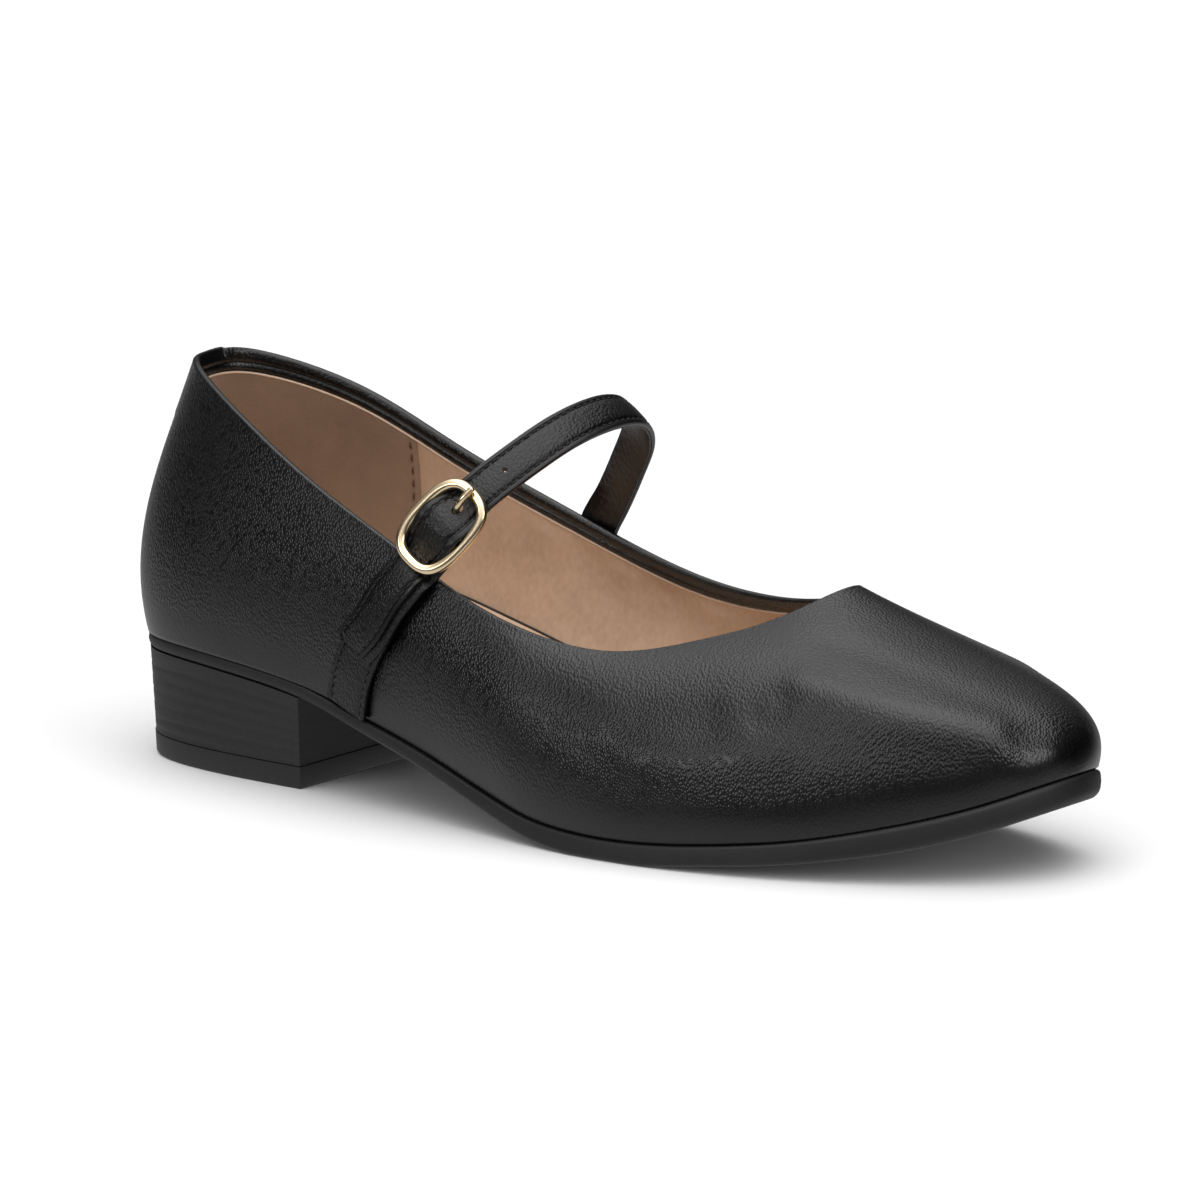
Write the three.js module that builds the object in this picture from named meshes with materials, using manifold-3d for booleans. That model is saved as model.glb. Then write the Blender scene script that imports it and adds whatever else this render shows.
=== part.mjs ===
// Mary jane pump with a block heel, right shoe. Millimetres, +Z up, +X to the toe, +Y to the inner side.
// The sizes below count x from just behind the heel, y from the heel's middle line and z from the floor.
import * as THREE from "three";
import Module from "manifold-3d";

const wasm = await Module();
wasm.setup();

// Driving dimensions.
const ORIGIN = new THREE.Vector3(124.1, -2.9, 0);   // floor point under the shoe's middle
const GAP = 0.3;                 // clearance between pieces that meet
const WALL = 1.9;                // upper leather with its lining
const RIM_RISE = 0.7;            // folded edge, above the topline
const INSOLE_HEEL = 11.5;        // padded insole, its thickness under the heel
const INSOLE_TOE = 4;            // and under the toes
const INSOLE_THINS = [75, 175];  // where it thins from the one to the other, along x
const INSOLE_LEVELS = [1, 2 / 3, 1 / 3];   // rings of its edge, as shares of its thickness
const SOLE_LEDGE = 0.9;          // sole edge beyond the upper
const SOLE_EDGE_ROUND = 1.3;
const HEEL_INSET = 0.6;          // heel block inside the sole's edge
const BREAST_TOP = 61;           // front face of the heel, where it meets the sole
const BREAST_FOOT = 57.5;        // the same face at the floor
const HEEL_FOOT_BACK = 2;        // back of the heel at the floor
const HEEL_TAPER = 0.82;         // width at the floor over width at the sole
const TOP_PIECE_THICK = 5.4;

// The foot's long profile: height of the upper's feather line, and of the sole's underside.
const PROFILE = table(["x", "seat", "under"], [
  [-12, 28.6, 25.4],
  [0, 29, 25.7],
  [30, 29, 25.7],
  [60, 26, 22.7],
  [80, 21, 17.5],
  [100, 15.7, 11.8],
  [118, 10.2, 5.9],
  [132, 6.4, 1.7],
  [146, 5, -0.1],
  [162, 5, -0.1],
  [180, 6.4, 1.6],
  [200, 9, 3.8],
  [220, 13.5, 7.3],
  [235, 18, 11.5],
  [250, 24, 17.4],
  [262, 28, 21.4],
]);

// Ribs of the last, from the back of the heel along the outer side to the toe and back along the inner side.
// x, y: feather line; out, rise: swell of the wall above it;
// tx, ty, tz: topline; lean, drop: how the wall arrives under the topline.
const RIBS = table(["x", "y", "out", "rise", "tx", "ty", "tz", "lean", "drop"], [
  [2, 0, 5.5, 22, 11.5, 0, 90.2, 7, 21],
  [10, -18.5, 5.5, 22, 19, -12.5, 89.7, 7, 21],
  [34, -28, 5.5, 20, 41, -24.5, 82.3, 5, 18],
  [63, -31.5, 5, 18, 65.5, -31, 71.1, 4, 14],
  [95, -35.5, 5, 16, 91.5, -35.2, 60.2, 4, 12],
  [126.5, -41.5, 5, 15, 112.5, -37.7, 51.3, 5, 10],
  [156.5, -45, 5, 14, 132, -37, 45.5, 8, 8],
  [185, -42, 5, 13, 150.5, -33.5, 43.9, 13, 7],
  [210.5, -34, 4, 13.3, 167, -25.5, 47.2, 20, 8],
  [233, -22, 4.5, 15, 179, -16, 51.3, 31, 11],
  [246, -6.5, 5, 16, 187, -5.5, 56, 37, 16.5],
  [246, 9.5, 5, 16, 187.5, 6.5, 56.4, 37, 17.5],
  [237.5, 22.5, 4, 15.5, 178.5, 17.5, 51.5, 31.5, 13],
  [218, 32, 4, 14.5, 166.5, 25.5, 48, 21, 9],
  [190, 38, 4, 14, 151.5, 31, 45.5, 13, 8],
  [160, 37, 5, 15, 132.5, 33.5, 46, 8, 9],
  [128, 30, 8, 16, 112, 34, 50.7, 6, 10],
  [95, 26, 9, 17, 89.5, 32, 59.3, 5, 12],
  [63, 27, 7, 18, 63, 29, 70.5, 4, 14],
  [34, 27, 5, 20, 37.5, 25, 82.6, 5, 18],
  [10, 18, 5.5, 22, 15.5, 13.5, 89.9, 6, 21],
]);

// Strap and buckle. The strap arches in a plane that leans forward: a place on it is a side distance y and a
// rise along the plane from STRAP_ROOT.
const STRAP_ROOT = new THREE.Vector3(98, 0, 57);
const STRAP_UP = new THREE.Vector3(0.6, 0, 0.8);
const STRAP_ACROSS = new THREE.Vector3(0.8, 0, -0.6);
const STRAP_WIDE = 9.6;
const STRAP_THICK = 1.8;
const ANCHOR_WIDE = 11.6;
const ANCHOR_THICK = 1.4;
const ELASTIC_WIDE = 8.4;
const ELASTIC_THICK = 0.9;
const BUCKLE_Y = -37.5;
const BUCKLE_RISE = 13.1;
const BUCKLE_TILT = THREE.MathUtils.degToRad(23);
const RING_LONG = 22.6;          // outer size along the strap
const RING_SHORT = 16;
const RING_WIRE = 1.2;           // wire radius
const BAR_WIRE = 0.9;
const BAR_DEPTH = 2.2;           // centre bar under the ring's middle plane
const PRONG_WIRE = 0.85;
const EYE_WIRE = 0.4;              // the prong's eye round the bar
const SLOT_WIDE = 2.2;           // slot in the elastic for the prong

const LEATHER = finish(0x17171a, 0.5, 0);
const LINING = finish(0xc4a080, 0.7, 0);
const SOLE_RUBBER = finish(0x1d1d1f, 0.62, 0);
const HEEL_STACK = finish(0x1a1a1c, 0.55, 0);
const ELASTIC = finish(0x101012, 0.85, 0);
const GOLD = finish(0xd9bd86, 0.2, 1);

function table(columns, rows) {
  return rows.map((row) => Object.fromEntries(columns.map((name, i) => [name, row[i]])));
}

function finish(color, roughness, metalness) {
  return new THREE.MeshStandardMaterial({ color, roughness, metalness });
}

// Cubic through the profile table, with slopes from each row's neighbours.
function profile(x, column) {
  const last = PROFILE.length - 2;
  let i = 1;
  while (i < last - 1 && x > PROFILE[i + 1].x) i += 1;
  const [a, b, c, d] = PROFILE.slice(i - 1, i + 3);
  const span = c.x - b.x;
  const f = (x - b.x) / span;
  const slopeB = (c[column] - a[column]) / (c.x - a.x) * span;
  const slopeC = (d[column] - b[column]) / (d.x - b.x) * span;
  const rise = c[column] - b[column];
  return b[column] + f * (slopeB + f * (3 * rise - 2 * slopeB - slopeC + f * (slopeB + slopeC - 2 * rise)));
}

const seatHeight = (x) => profile(x, "seat");
const underHeight = (x) => Math.max(0, profile(x, "under"));

// Closed cubic spline through one column of the ribs, with its control values found by repeated correction.
function closedControls(values) {
  const n = values.length;
  let controls = values.slice();
  for (let pass = 0; pass < 40; pass += 1) {
    controls = values.map((v, i) => (6 * v - controls[(i + n - 1) % n] - controls[(i + 1) % n]) / 4);
  }
  return controls;
}

const RIB_CONTROLS = Object.fromEntries(
  Object.keys(RIBS[0]).map((name) => [name, closedControls(RIBS.map((rib) => rib[name]))]),
);

function ribValue(column, s) {
  const q = RIB_CONTROLS[column];
  const n = q.length;
  const i = Math.floor(s);
  const f = s - i;
  const weights = [(1 - f) ** 3, 3 * f ** 3 - 6 * f ** 2 + 4, -3 * f ** 3 + 3 * f ** 2 + 3 * f + 1, f ** 3];
  return weights.reduce((sum, w, k) => sum + w * q[(i + k - 1 + 2 * n) % n], 0) / 6;
}

// Outward direction of the feather line, seen from above.
function outward(s) {
  const step = 0.01;
  const dx = ribValue("x", s + step) - ribValue("x", s - step);
  const dy = ribValue("y", s + step) - ribValue("y", s - step);
  return new THREE.Vector3(dy, -dx, 0).normalize();
}

function feather(s, beyond = 0) {
  const p = new THREE.Vector3(ribValue("x", s), ribValue("y", s), 0);
  return p.addScaledVector(outward(s), beyond);
}

// Outer face of the upper: s counts ribs, t runs from the feather line (0) to the topline (1).
function face(s, t) {
  const foot = feather(s);
  foot.z = seatHeight(foot.x);
  const top = new THREE.Vector3(ribValue("tx", s), ribValue("ty", s), ribValue("tz", s));
  const swell = foot.clone().addScaledVector(outward(s), ribValue("out", s));
  swell.z += ribValue("rise", s);
  const arrive = top.clone().addScaledVector(outward(s), ribValue("lean", s));
  arrive.z -= ribValue("drop", s);
  const u = 1 - t;
  return foot.multiplyScalar(u ** 3)
    .addScaledVector(swell, 3 * t * u * u)
    .addScaledVector(arrive, 3 * t * t * u)
    .addScaledVector(top, t ** 3);
}

function faceNormal(s, t) {
  const step = 0.01;
  const along = face(s + step, t).sub(face(s - step, t));
  const up = face(s, t + step).sub(face(s, t - step));
  return along.cross(up).normalize();
}

// A place at a distance outside (or, if negative, inside) the upper's outer face.
function onWall(s, t, distance) {
  return face(s, t).addScaledVector(faceNormal(s, t), distance);
}

function solid(points, triangles) {
  const geometry = new THREE.BufferGeometry();
  const flat = points.flatMap((p) => [p.x, p.y, p.z]);
  geometry.setAttribute("position", new THREE.Float32BufferAttribute(flat, 3));
  let volume = 0;
  for (const [a, b, c] of triangles) {
    volume += points[a].dot(points[b].clone().cross(points[c]));
  }
  const facing = volume > 0 ? triangles : triangles.map(([a, b, c]) => [a, c, b]);
  geometry.setIndex(facing.flat());
  return geometry;
}

// Side faces between rings of points; closed joins the last ring to the first.
function ringFaces(rings, size, closed) {
  const triangles = [];
  const count = closed ? rings : rings - 1;
  for (let r = 0; r < count; r += 1) {
    const here = r * size;
    const next = ((r + 1) % rings) * size;
    for (let i = 0; i < size; i += 1) {
      const j = (i + 1) % size;
      triangles.push([here + i, next + i, next + j], [here + i, next + j, here + j]);
    }
  }
  return triangles;
}

// Cap over a ring, with cross lines from each point to its partner on the other side.
function cap(points, start, size, across, height, flip) {
  const half = size / 2;
  const rows = [];
  for (let k = 0; k <= half; k += 1) {
    const row = [start + k];
    if (k > 0 && k < half) {
      const a = points[start + k];
      const b = points[start + size - k];
      for (let m = 1; m < across; m += 1) {
        const p = a.clone().lerp(b, m / across);
        p.z = height(p.x);
        points.push(p);
        row.push(points.length - 1);
      }
      row.push(start + size - k);
    }
    rows.push(row);
  }
  const triangles = [];
  const add = (a, b, c) => triangles.push(flip ? [a, c, b] : [a, b, c]);
  for (let k = 0; k < half; k += 1) {
    const near = rows[k];
    const far = rows[k + 1];
    for (let m = 0; m < across; m += 1) {
      const a = near[Math.min(m, near.length - 1)];
      const b = near[Math.min(m + 1, near.length - 1)];
      const c = far[Math.min(m + 1, far.length - 1)];
      const d = far[Math.min(m, far.length - 1)];
      if (a !== b) add(a, c, b);
      if (c !== d) add(a, d, c);
    }
  }
  return triangles;
}

// Solid between a stack of rings, top ring first, with caps that follow a height along x.
function stack(rings, across, topHeight, bottomHeight) {
  const size = rings[0].length;
  const points = rings.flat();
  const sides = ringFaces(rings.length, size, false);
  const top = cap(points, 0, size, across, topHeight, false);
  const bottom = cap(points, (rings.length - 1) * size, size, across, bottomHeight, true);
  return solid(points, [...sides, ...top, ...bottom]);
}

function ring(steps, place) {
  return Array.from({ length: steps }, (_, i) => place(i * RIBS.length / steps));
}

function planRing(steps, beyond, height) {
  return ring(steps, (s) => {
    const p = feather(s, beyond);
    p.z = height(p.x);
    return p;
  });
}

function upperSolid() {
  const around = 84;
  const up = 11;
  const rings = [];
  for (let j = 0; j <= up; j += 1) rings.push(ring(around, (s) => face(s, j / up)));
  rings.push(ring(around, (s) => {
    const rim = onWall(s, 1, -WALL / 2);
    const rise = face(s, 1).sub(face(s, 0.97)).normalize();
    return rim.addScaledVector(rise, RIM_RISE);
  }));
  for (let j = up; j >= 0; j -= 1) rings.push(ring(around, (s) => onWall(s, j / up, -WALL)));
  return solid(rings.flat(), ringFaces(rings.length, around, true));
}

function insoleTop(x) {
  const forward = THREE.MathUtils.smoothstep(x, ...INSOLE_THINS);
  return seatHeight(x) + THREE.MathUtils.lerp(INSOLE_HEEL, INSOLE_TOE, forward);
}

// Edge of the insole at a share of its thickness, a gap inside the upper's wall.
function insoleEdge(s, share) {
  let low = 0;
  let high = 0.6;
  const rise = (p) => p.z - THREE.MathUtils.lerp(seatHeight(p.x), insoleTop(p.x), share);
  for (let pass = 0; pass < 20; pass += 1) {
    const middle = (low + high) / 2;
    if (rise(onWall(s, middle, -(WALL + GAP))) < 0) low = middle;
    else high = middle;
  }
  return onWall(s, low, -(WALL + GAP));
}

function insoleSolid() {
  const steps = 60;
  const edges = INSOLE_LEVELS.map((share) => ring(steps, (s) => insoleEdge(s, share)));
  return stack([...edges, planRing(steps, -(WALL + GAP), seatHeight)], 4, insoleTop, seatHeight);
}

function outsoleSolid() {
  const steps = 76;
  const top = (x) => seatHeight(x) - GAP;
  const lifted = (rise) => (x) => underHeight(x) + rise;
  const rings = [
    planRing(steps, SOLE_LEDGE, top),
    planRing(steps, SOLE_LEDGE, lifted(SOLE_EDGE_ROUND)),
    planRing(steps, SOLE_LEDGE - SOLE_EDGE_ROUND * 0.3, lifted(SOLE_EDGE_ROUND * 0.3)),
    planRing(steps, SOLE_LEDGE - SOLE_EDGE_ROUND, underHeight),
  ];
  return stack(rings, 6, top, underHeight);
}

// Plan of the heel block where it meets the sole: round the back between the two breast corners.
function heelPlan() {
  const curved = 16;
  const straight = 4;
  const edge = SOLE_LEDGE - HEEL_INSET;
  const corner = (s, step) => {
    while (feather(s, edge).x < BREAST_TOP) s += step;
    return s;
  };
  const outer = corner(0, 0.01);
  const inner = corner(0, -0.01);
  const side = (end) => Array.from({ length: curved + 1 }, (_, i) => feather(end * i / curved, edge));
  const outerSide = side(outer);
  const innerSide = side(inner);
  const breast = [];
  for (let i = 1; i < 2 * straight; i += 1) {
    breast.push(outerSide[curved].clone().lerp(innerSide[curved], i / (2 * straight)));
  }
  return [...outerSide, ...breast, ...innerSide.slice(1).reverse()];
}

// The same plan, drawn in towards the floor: depth is 0 at the sole and 1 at the floor.
function heelRing(depth, height) {
  const back = feather(0).x;
  const lengthRatio = (BREAST_FOOT - HEEL_FOOT_BACK) / (BREAST_TOP - back);
  return heelPlan().map((p) => {
    const foot = new THREE.Vector3(HEEL_FOOT_BACK + (p.x - back) * lengthRatio, p.y * HEEL_TAPER, 0);
    const q = p.clone().lerp(foot, depth);
    q.z = height(q.x);
    return q;
  });
}

function heelBlockSolid() {
  const top = (x) => underHeight(x) - GAP;
  const foot = () => TOP_PIECE_THICK + GAP;
  const footDepth = 1 - TOP_PIECE_THICK / underHeight(0);
  return stack([heelRing(0, top), heelRing(footDepth, foot)], 4, top, foot);
}

function topPieceSolid() {
  const top = () => TOP_PIECE_THICK;
  const floor = () => 0;
  const topDepth = 1 - TOP_PIECE_THICK / underHeight(0);
  return stack([heelRing(topDepth, top), heelRing(1, floor)], 4, top, floor);
}

// A place on the strap's leaning plane.
function onArch(y, rise) {
  return STRAP_ROOT.clone().addScaledVector(STRAP_UP, rise).add(new THREE.Vector3(0, y, 0));
}

// A place in the buckle's own frame: along the strap, across it, and out from the foot.
function atBuckle(along, across, out) {
  const sin = Math.sin(BUCKLE_TILT);
  const cos = Math.cos(BUCKLE_TILT);
  const p = onArch(BUCKLE_Y + along * sin - out * cos, BUCKLE_RISE + along * cos + out * sin);
  return p.addScaledVector(STRAP_ACROSS, across);
}

const BUCKLE_OUT = atBuckle(0, 0, 1).sub(atBuckle(0, 0, 0));
const BUCKLE_ALONG = atBuckle(1, 0, 0).sub(atBuckle(0, 0, 0));

// Flat band of leather or elastic. Each stop has a place and, where the band lies on the wall, its normal;
// stops without one lie in the strap's plane.
function band(stops, width, thick, steps) {
  const curve = new THREE.CatmullRomCurve3(stops.map((stop) => stop.place), false, "centripetal");
  const sides = stops.map((stop, i) => {
    if (!stop.normal) return STRAP_ACROSS.clone();
    return curve.getTangent(i / (stops.length - 1)).cross(stop.normal).normalize();
  });
  const bevel = thick * 0.28;
  const section = [
    [width / 2 - bevel, -thick / 2], [width / 2, -thick / 2 + bevel],
    [width / 2, thick / 2 - bevel], [width / 2 - bevel, thick / 2],
    [bevel - width / 2, thick / 2], [-width / 2, thick / 2 - bevel],
    [-width / 2, bevel - thick / 2], [bevel - width / 2, -thick / 2],
  ];
  const points = [];
  for (let k = 0; k <= steps; k += 1) {
    const u = k / steps;
    const spot = Math.min(u * (stops.length - 1), stops.length - 1.0001);
    const i = Math.floor(spot);
    const tangent = curve.getTangent(u);
    const side = sides[i].clone().lerp(sides[i + 1], spot - i);
    side.addScaledVector(tangent, -side.dot(tangent)).normalize();
    const out = side.clone().cross(tangent);
    const centre = curve.getPoint(u);
    for (const [across, up] of section) {
      points.push(centre.clone().addScaledVector(side, across).addScaledVector(out, up));
    }
  }
  const size = section.length;
  const ends = [];
  for (let i = 1; i < size - 1; i += 1) {
    const last = steps * size;
    ends.push([0, i, i + 1], [last, last + i + 1, last + i]);
  }
  return solid(points, [...ringFaces(steps + 1, size, false), ...ends]);
}

function wallStop(s, t, distance) {
  return { place: onWall(s, t, distance), normal: faceNormal(s, t) };
}

const STRAP_MID = STRAP_THICK / 2;
const OVER_ELASTIC = GAP + ELASTIC_THICK + GAP;
const OVER_ANCHOR = OVER_ELASTIC + ANCHOR_THICK + GAP;

// Stops of the strap, from its free end on the outer quarter to its foot on the inner quarter.
function strapStops() {
  const free = table(["s", "t", "over"], [
    [3.68, 0.41, GAP + ANCHOR_THICK + GAP + 0.3],
    [3.88, 0.56, OVER_ANCHOR - 0.4],
    [4.1, 0.77, OVER_ANCHOR],
    [4.29, 0.94, OVER_ANCHOR + 0.2],
  ]);
  const throughRing = table(["along", "out"], [
    [-10.8, -2.5],
    [-7.6, -2.3],
    [-4, -0.5],
    [0, 1],
    [4, -0.5],
    [7.6, -2.3],
    [10.8, -2.6],
  ]);
  const arch = table(["y", "rise"], [
    [-22, 29.8],
    [-11, 36.6],
    [0, 39.3],
    [9, 38.9],
    [17, 36],
    [25, 28.4],
    [29.8, 17.6],
    [33.4, 7],
  ]);
  const foot = table(["s", "t"], [
    [16.66, 0.98],
    [16.8, 0.78],
    [17.05, 0.55],
    [17.3, 0.3],
    [17.5, 0.03],
  ]);
  return [
    ...free.map((row) => wallStop(row.s, row.t, row.over + STRAP_MID)),
    ...throughRing.map((row) => ({ place: atBuckle(row.along, 0, row.out) })),
    ...arch.map((row) => ({ place: onArch(row.y, row.rise) })),
    ...foot.map((row) => wallStop(row.s, row.t, GAP + STRAP_MID)),
  ];
}

// Leather strip on the outer quarter, from the sole up over the elastic's root.
function anchorStops() {
  const rows = table(["s", "t", "over"], [
    [3.46, 0.03, GAP],
    [3.56, 0.2, GAP],
    [3.7, 0.38, GAP],
    [3.86, 0.54, GAP + 0.5],
    [4.08, 0.75, OVER_ELASTIC],
    [4.27, 0.93, OVER_ELASTIC],
  ]);
  return rows.map((row) => wallStop(row.s, row.t, row.over + ANCHOR_THICK / 2));
}

// Elastic from under the anchor strip, up and round the centre bar, and back down on itself.
function elasticStops() {
  const mid = GAP + ELASTIC_THICK / 2;
  const rows = table(["s", "t"], [
    [4.05, 0.72],
    [4.17, 0.84],
    [4.3, 0.96],
  ]);
  const turn = BAR_WIRE + 0.15 + ELASTIC_THICK / 2;
  const loop = [-80, -35, 10, 55, 100, 145].map((degrees) => {
    const angle = THREE.MathUtils.degToRad(degrees);
    return { place: atBuckle(turn * Math.cos(angle), 0, turn * Math.sin(angle) - BAR_DEPTH) };
  });
  return [
    ...rows.map((row) => wallStop(row.s, row.t, mid)),
    { place: atBuckle(-10.8, 0, -4.6) },
    { place: atBuckle(-6.5, 0, -4.2) },
    { place: atBuckle(-2.6, 0, -3.9) },
    ...loop,
    { place: atBuckle(-2.6, 0, -2.3) },
    { place: atBuckle(-4.6, 0, -2.8) },
  ];
}

// Round wire along a list of places, with its radius at both ends; reference is never along the wire.
function wire(places, radii, reference, closed, sides, steps) {
  const curve = new THREE.CatmullRomCurve3(places, closed, "centripetal");
  const stations = closed ? steps : steps + 1;
  const points = [];
  for (let k = 0; k < stations; k += 1) {
    const u = k / steps;
    const tangent = curve.getTangent(u);
    const second = tangent.clone().cross(reference).normalize();
    const first = second.clone().cross(tangent);
    const radius = radii[0] + (radii[1] - radii[0]) * u;
    for (let i = 0; i < sides; i += 1) {
      const angle = i / sides * 2 * Math.PI;
      points.push(curve.getPoint(u)
        .addScaledVector(first, radius * Math.cos(angle))
        .addScaledVector(second, radius * Math.sin(angle)));
    }
  }
  const triangles = ringFaces(stations, sides, closed);
  if (!closed) {
    const last = steps * sides;
    for (let i = 1; i < sides - 1; i += 1) {
      triangles.push([0, i, i + 1], [last, last + i + 1, last + i]);
    }
  }
  return solid(points, triangles);
}

function toManifold(geometry) {
  const mesh = new wasm.Mesh({
    numProp: 3,
    vertProperties: Float32Array.from(geometry.attributes.position.array),
    triVerts: Uint32Array.from(geometry.index.array),
  });
  return new wasm.Manifold(mesh);
}

function fromManifold(manifold) {
  const { vertProperties, triVerts } = manifold.getMesh();
  const geometry = new THREE.BufferGeometry();
  geometry.setAttribute("position", new THREE.BufferAttribute(vertProperties, 3));
  geometry.setIndex(new THREE.BufferAttribute(triVerts, 1));
  return geometry;
}

// Oval ring with its centre bar.
function buckleFrameSolid() {
  const endRadius = RING_SHORT / 2 - RING_WIRE;
  const straight = RING_LONG / 2 - RING_SHORT / 2;
  const places = [];
  for (const side of [1, -1]) {
    for (let i = 0; i <= 8; i += 1) {
      const angle = Math.PI * i / 8;
      const along = side * (straight + endRadius * Math.sin(angle));
      places.push(atBuckle(along, side * endRadius * Math.cos(angle), 0));
    }
  }
  const frame = toManifold(wire(places, [RING_WIRE, RING_WIRE], BUCKLE_OUT, true, 10, 54));
  const halfBar = table(["across", "depth"], [[1, 0], [0.95, 0.5], [0.82, 0.9], [0.6, 1], [0.3, 1]]);
  const barPlace = (side) => (row) => atBuckle(0, side * row.across * endRadius, -row.depth * BAR_DEPTH);
  const barPlaces = [...halfBar.map(barPlace(-1)), ...halfBar.map(barPlace(1)).reverse()];
  const bar = toManifold(wire(barPlaces, [BAR_WIRE, BAR_WIRE], BUCKLE_ALONG, false, 10, 16));
  return fromManifold(frame.add(bar));
}

const PRONG_PATH = table(["along", "out"], [
  [1.4, -2.6],
  [2.9, -1.9],
  [4.4, -0.4],
  [6, 1.3],
  [8.4, 2.3],
  [11, 2.25],
]);

function prongShank(grow) {
  const places = PRONG_PATH.map((row) => atBuckle(row.along, 0, row.out));
  return toManifold(wire(places, [PRONG_WIRE + grow, PRONG_WIRE * 0.85 + grow], STRAP_ACROSS, false, 8, 14));
}

// Prong with its eye round the centre bar.
function prongSolid() {
  const eyeRadius = BAR_WIRE + 0.2 + EYE_WIRE;
  const eye = [];
  for (let i = 0; i < 12; i += 1) {
    const angle = i / 12 * 2 * Math.PI;
    eye.push(atBuckle(eyeRadius * Math.cos(angle), 0, eyeRadius * Math.sin(angle) - BAR_DEPTH));
  }
  const loop = eyeLoop(eye, EYE_WIRE);
  return fromManifold(toManifold(loop).add(prongShank(0)));
}

// Closed wire that lies in the plane along the strap and out from the foot.
function eyeLoop(places, radius) {
  const centre = places.reduce((sum, p) => sum.add(p), new THREE.Vector3()).divideScalar(places.length);
  const sides = 6;
  const points = places.flatMap((p) => {
    const away = p.clone().sub(centre).normalize();
    return Array.from({ length: sides }, (_, i) => {
      const angle = i / sides * 2 * Math.PI;
      return p.clone()
        .addScaledVector(away, radius * Math.cos(angle))
        .addScaledVector(STRAP_ACROSS, radius * Math.sin(angle));
    });
  });
  return solid(points, ringFaces(places.length, sides, true));
}

// Strap with the hole that the prong goes through.
function strapSolid() {
  const strap = toManifold(band(strapStops(), STRAP_WIDE, STRAP_THICK, 84));
  return fromManifold(strap.subtract(prongShank(0.35)));
}

function elasticSolid() {
  const slot = [-3.6, 4].map((along) => atBuckle(along, 0, -BAR_DEPTH));
  const stops = slot.map((place) => ({ place }));
  const cutter = toManifold(band(stops, SLOT_WIDE, 6, 1));
  return fromManifold(toManifold(band(elasticStops(), ELASTIC_WIDE, ELASTIC_THICK, 42)).subtract(cutter));
}

function node(name, geometry, material) {
  const mesh = new THREE.Mesh(geometry, material);
  mesh.name = name;
  return mesh;
}

const shoe = new THREE.Group();
shoe.position.copy(ORIGIN).negate();

const bottom = new THREE.Group();
bottom.add(node("outsole", outsoleSolid(), SOLE_RUBBER));
bottom.add(node("heel_block", heelBlockSolid(), HEEL_STACK));
bottom.add(node("top_piece", topPieceSolid(), SOLE_RUBBER));
bottom.add(node("insole", insoleSolid(), LINING));
shoe.add(bottom);

shoe.add(node("upper", upperSolid(), LEATHER));

const fastening = new THREE.Group();
fastening.add(node("strap", strapSolid(), LEATHER));
fastening.add(node("strap_anchor", band(anchorStops(), ANCHOR_WIDE, ANCHOR_THICK, 16), LEATHER));
fastening.add(node("elastic_tab", elasticSolid(), ELASTIC));
fastening.add(node("buckle_frame", buckleFrameSolid(), GOLD));
fastening.add(node("buckle_prong", prongSolid(), GOLD));
shoe.add(fastening);

export default shoe;
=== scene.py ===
import bmesh
import bpy
import math
import numpy as np
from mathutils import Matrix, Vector


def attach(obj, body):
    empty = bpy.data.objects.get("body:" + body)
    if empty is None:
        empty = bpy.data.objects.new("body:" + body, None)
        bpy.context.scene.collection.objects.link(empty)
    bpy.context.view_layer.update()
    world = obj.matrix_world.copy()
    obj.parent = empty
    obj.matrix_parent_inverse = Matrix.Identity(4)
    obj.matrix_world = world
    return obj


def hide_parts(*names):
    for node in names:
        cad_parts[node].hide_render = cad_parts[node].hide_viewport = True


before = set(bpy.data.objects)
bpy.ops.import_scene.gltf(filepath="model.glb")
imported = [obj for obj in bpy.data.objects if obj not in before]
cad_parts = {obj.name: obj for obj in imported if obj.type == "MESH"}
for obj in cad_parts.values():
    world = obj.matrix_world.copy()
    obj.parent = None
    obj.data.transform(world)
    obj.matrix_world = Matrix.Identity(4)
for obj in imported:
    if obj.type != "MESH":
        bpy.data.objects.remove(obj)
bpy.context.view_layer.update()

# Shoe sizes are in millimetres, counted as in part.mjs: x from just behind the heel, y from the heel's
# middle line towards the inner side, z from the floor. MM and ORIGIN take them to the frame.
MM = 0.001
ORIGIN = np.array([124.1, -2.9, 0.0])
WALL = 1.9
RIM_RISE = 0.95
INSOLE_HEEL, INSOLE_TOE = 11.5, 4.0
SOLE_LEDGE = 0.9
GAP = 0.3
SAME_PLACE = 0.002

PROFILE = {
    name: np.array(column, float)
    for name, column in zip(("x", "seat", "under"), zip(*[
        (-12, 28.6, 25.4), (0, 29, 25.7), (30, 29, 25.7), (60, 26, 22.7), (80, 21, 17.5),
        (100, 15.7, 11.8), (118, 10.2, 5.9), (132, 6.4, 1.7), (146, 5, -0.1), (162, 5, -0.1),
        (180, 6.4, 1.6), (200, 9, 3.8), (220, 13.5, 7.3), (235, 18, 11.5), (250, 24, 17.4),
        (262, 28, 21.4),
    ]))
}

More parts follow.
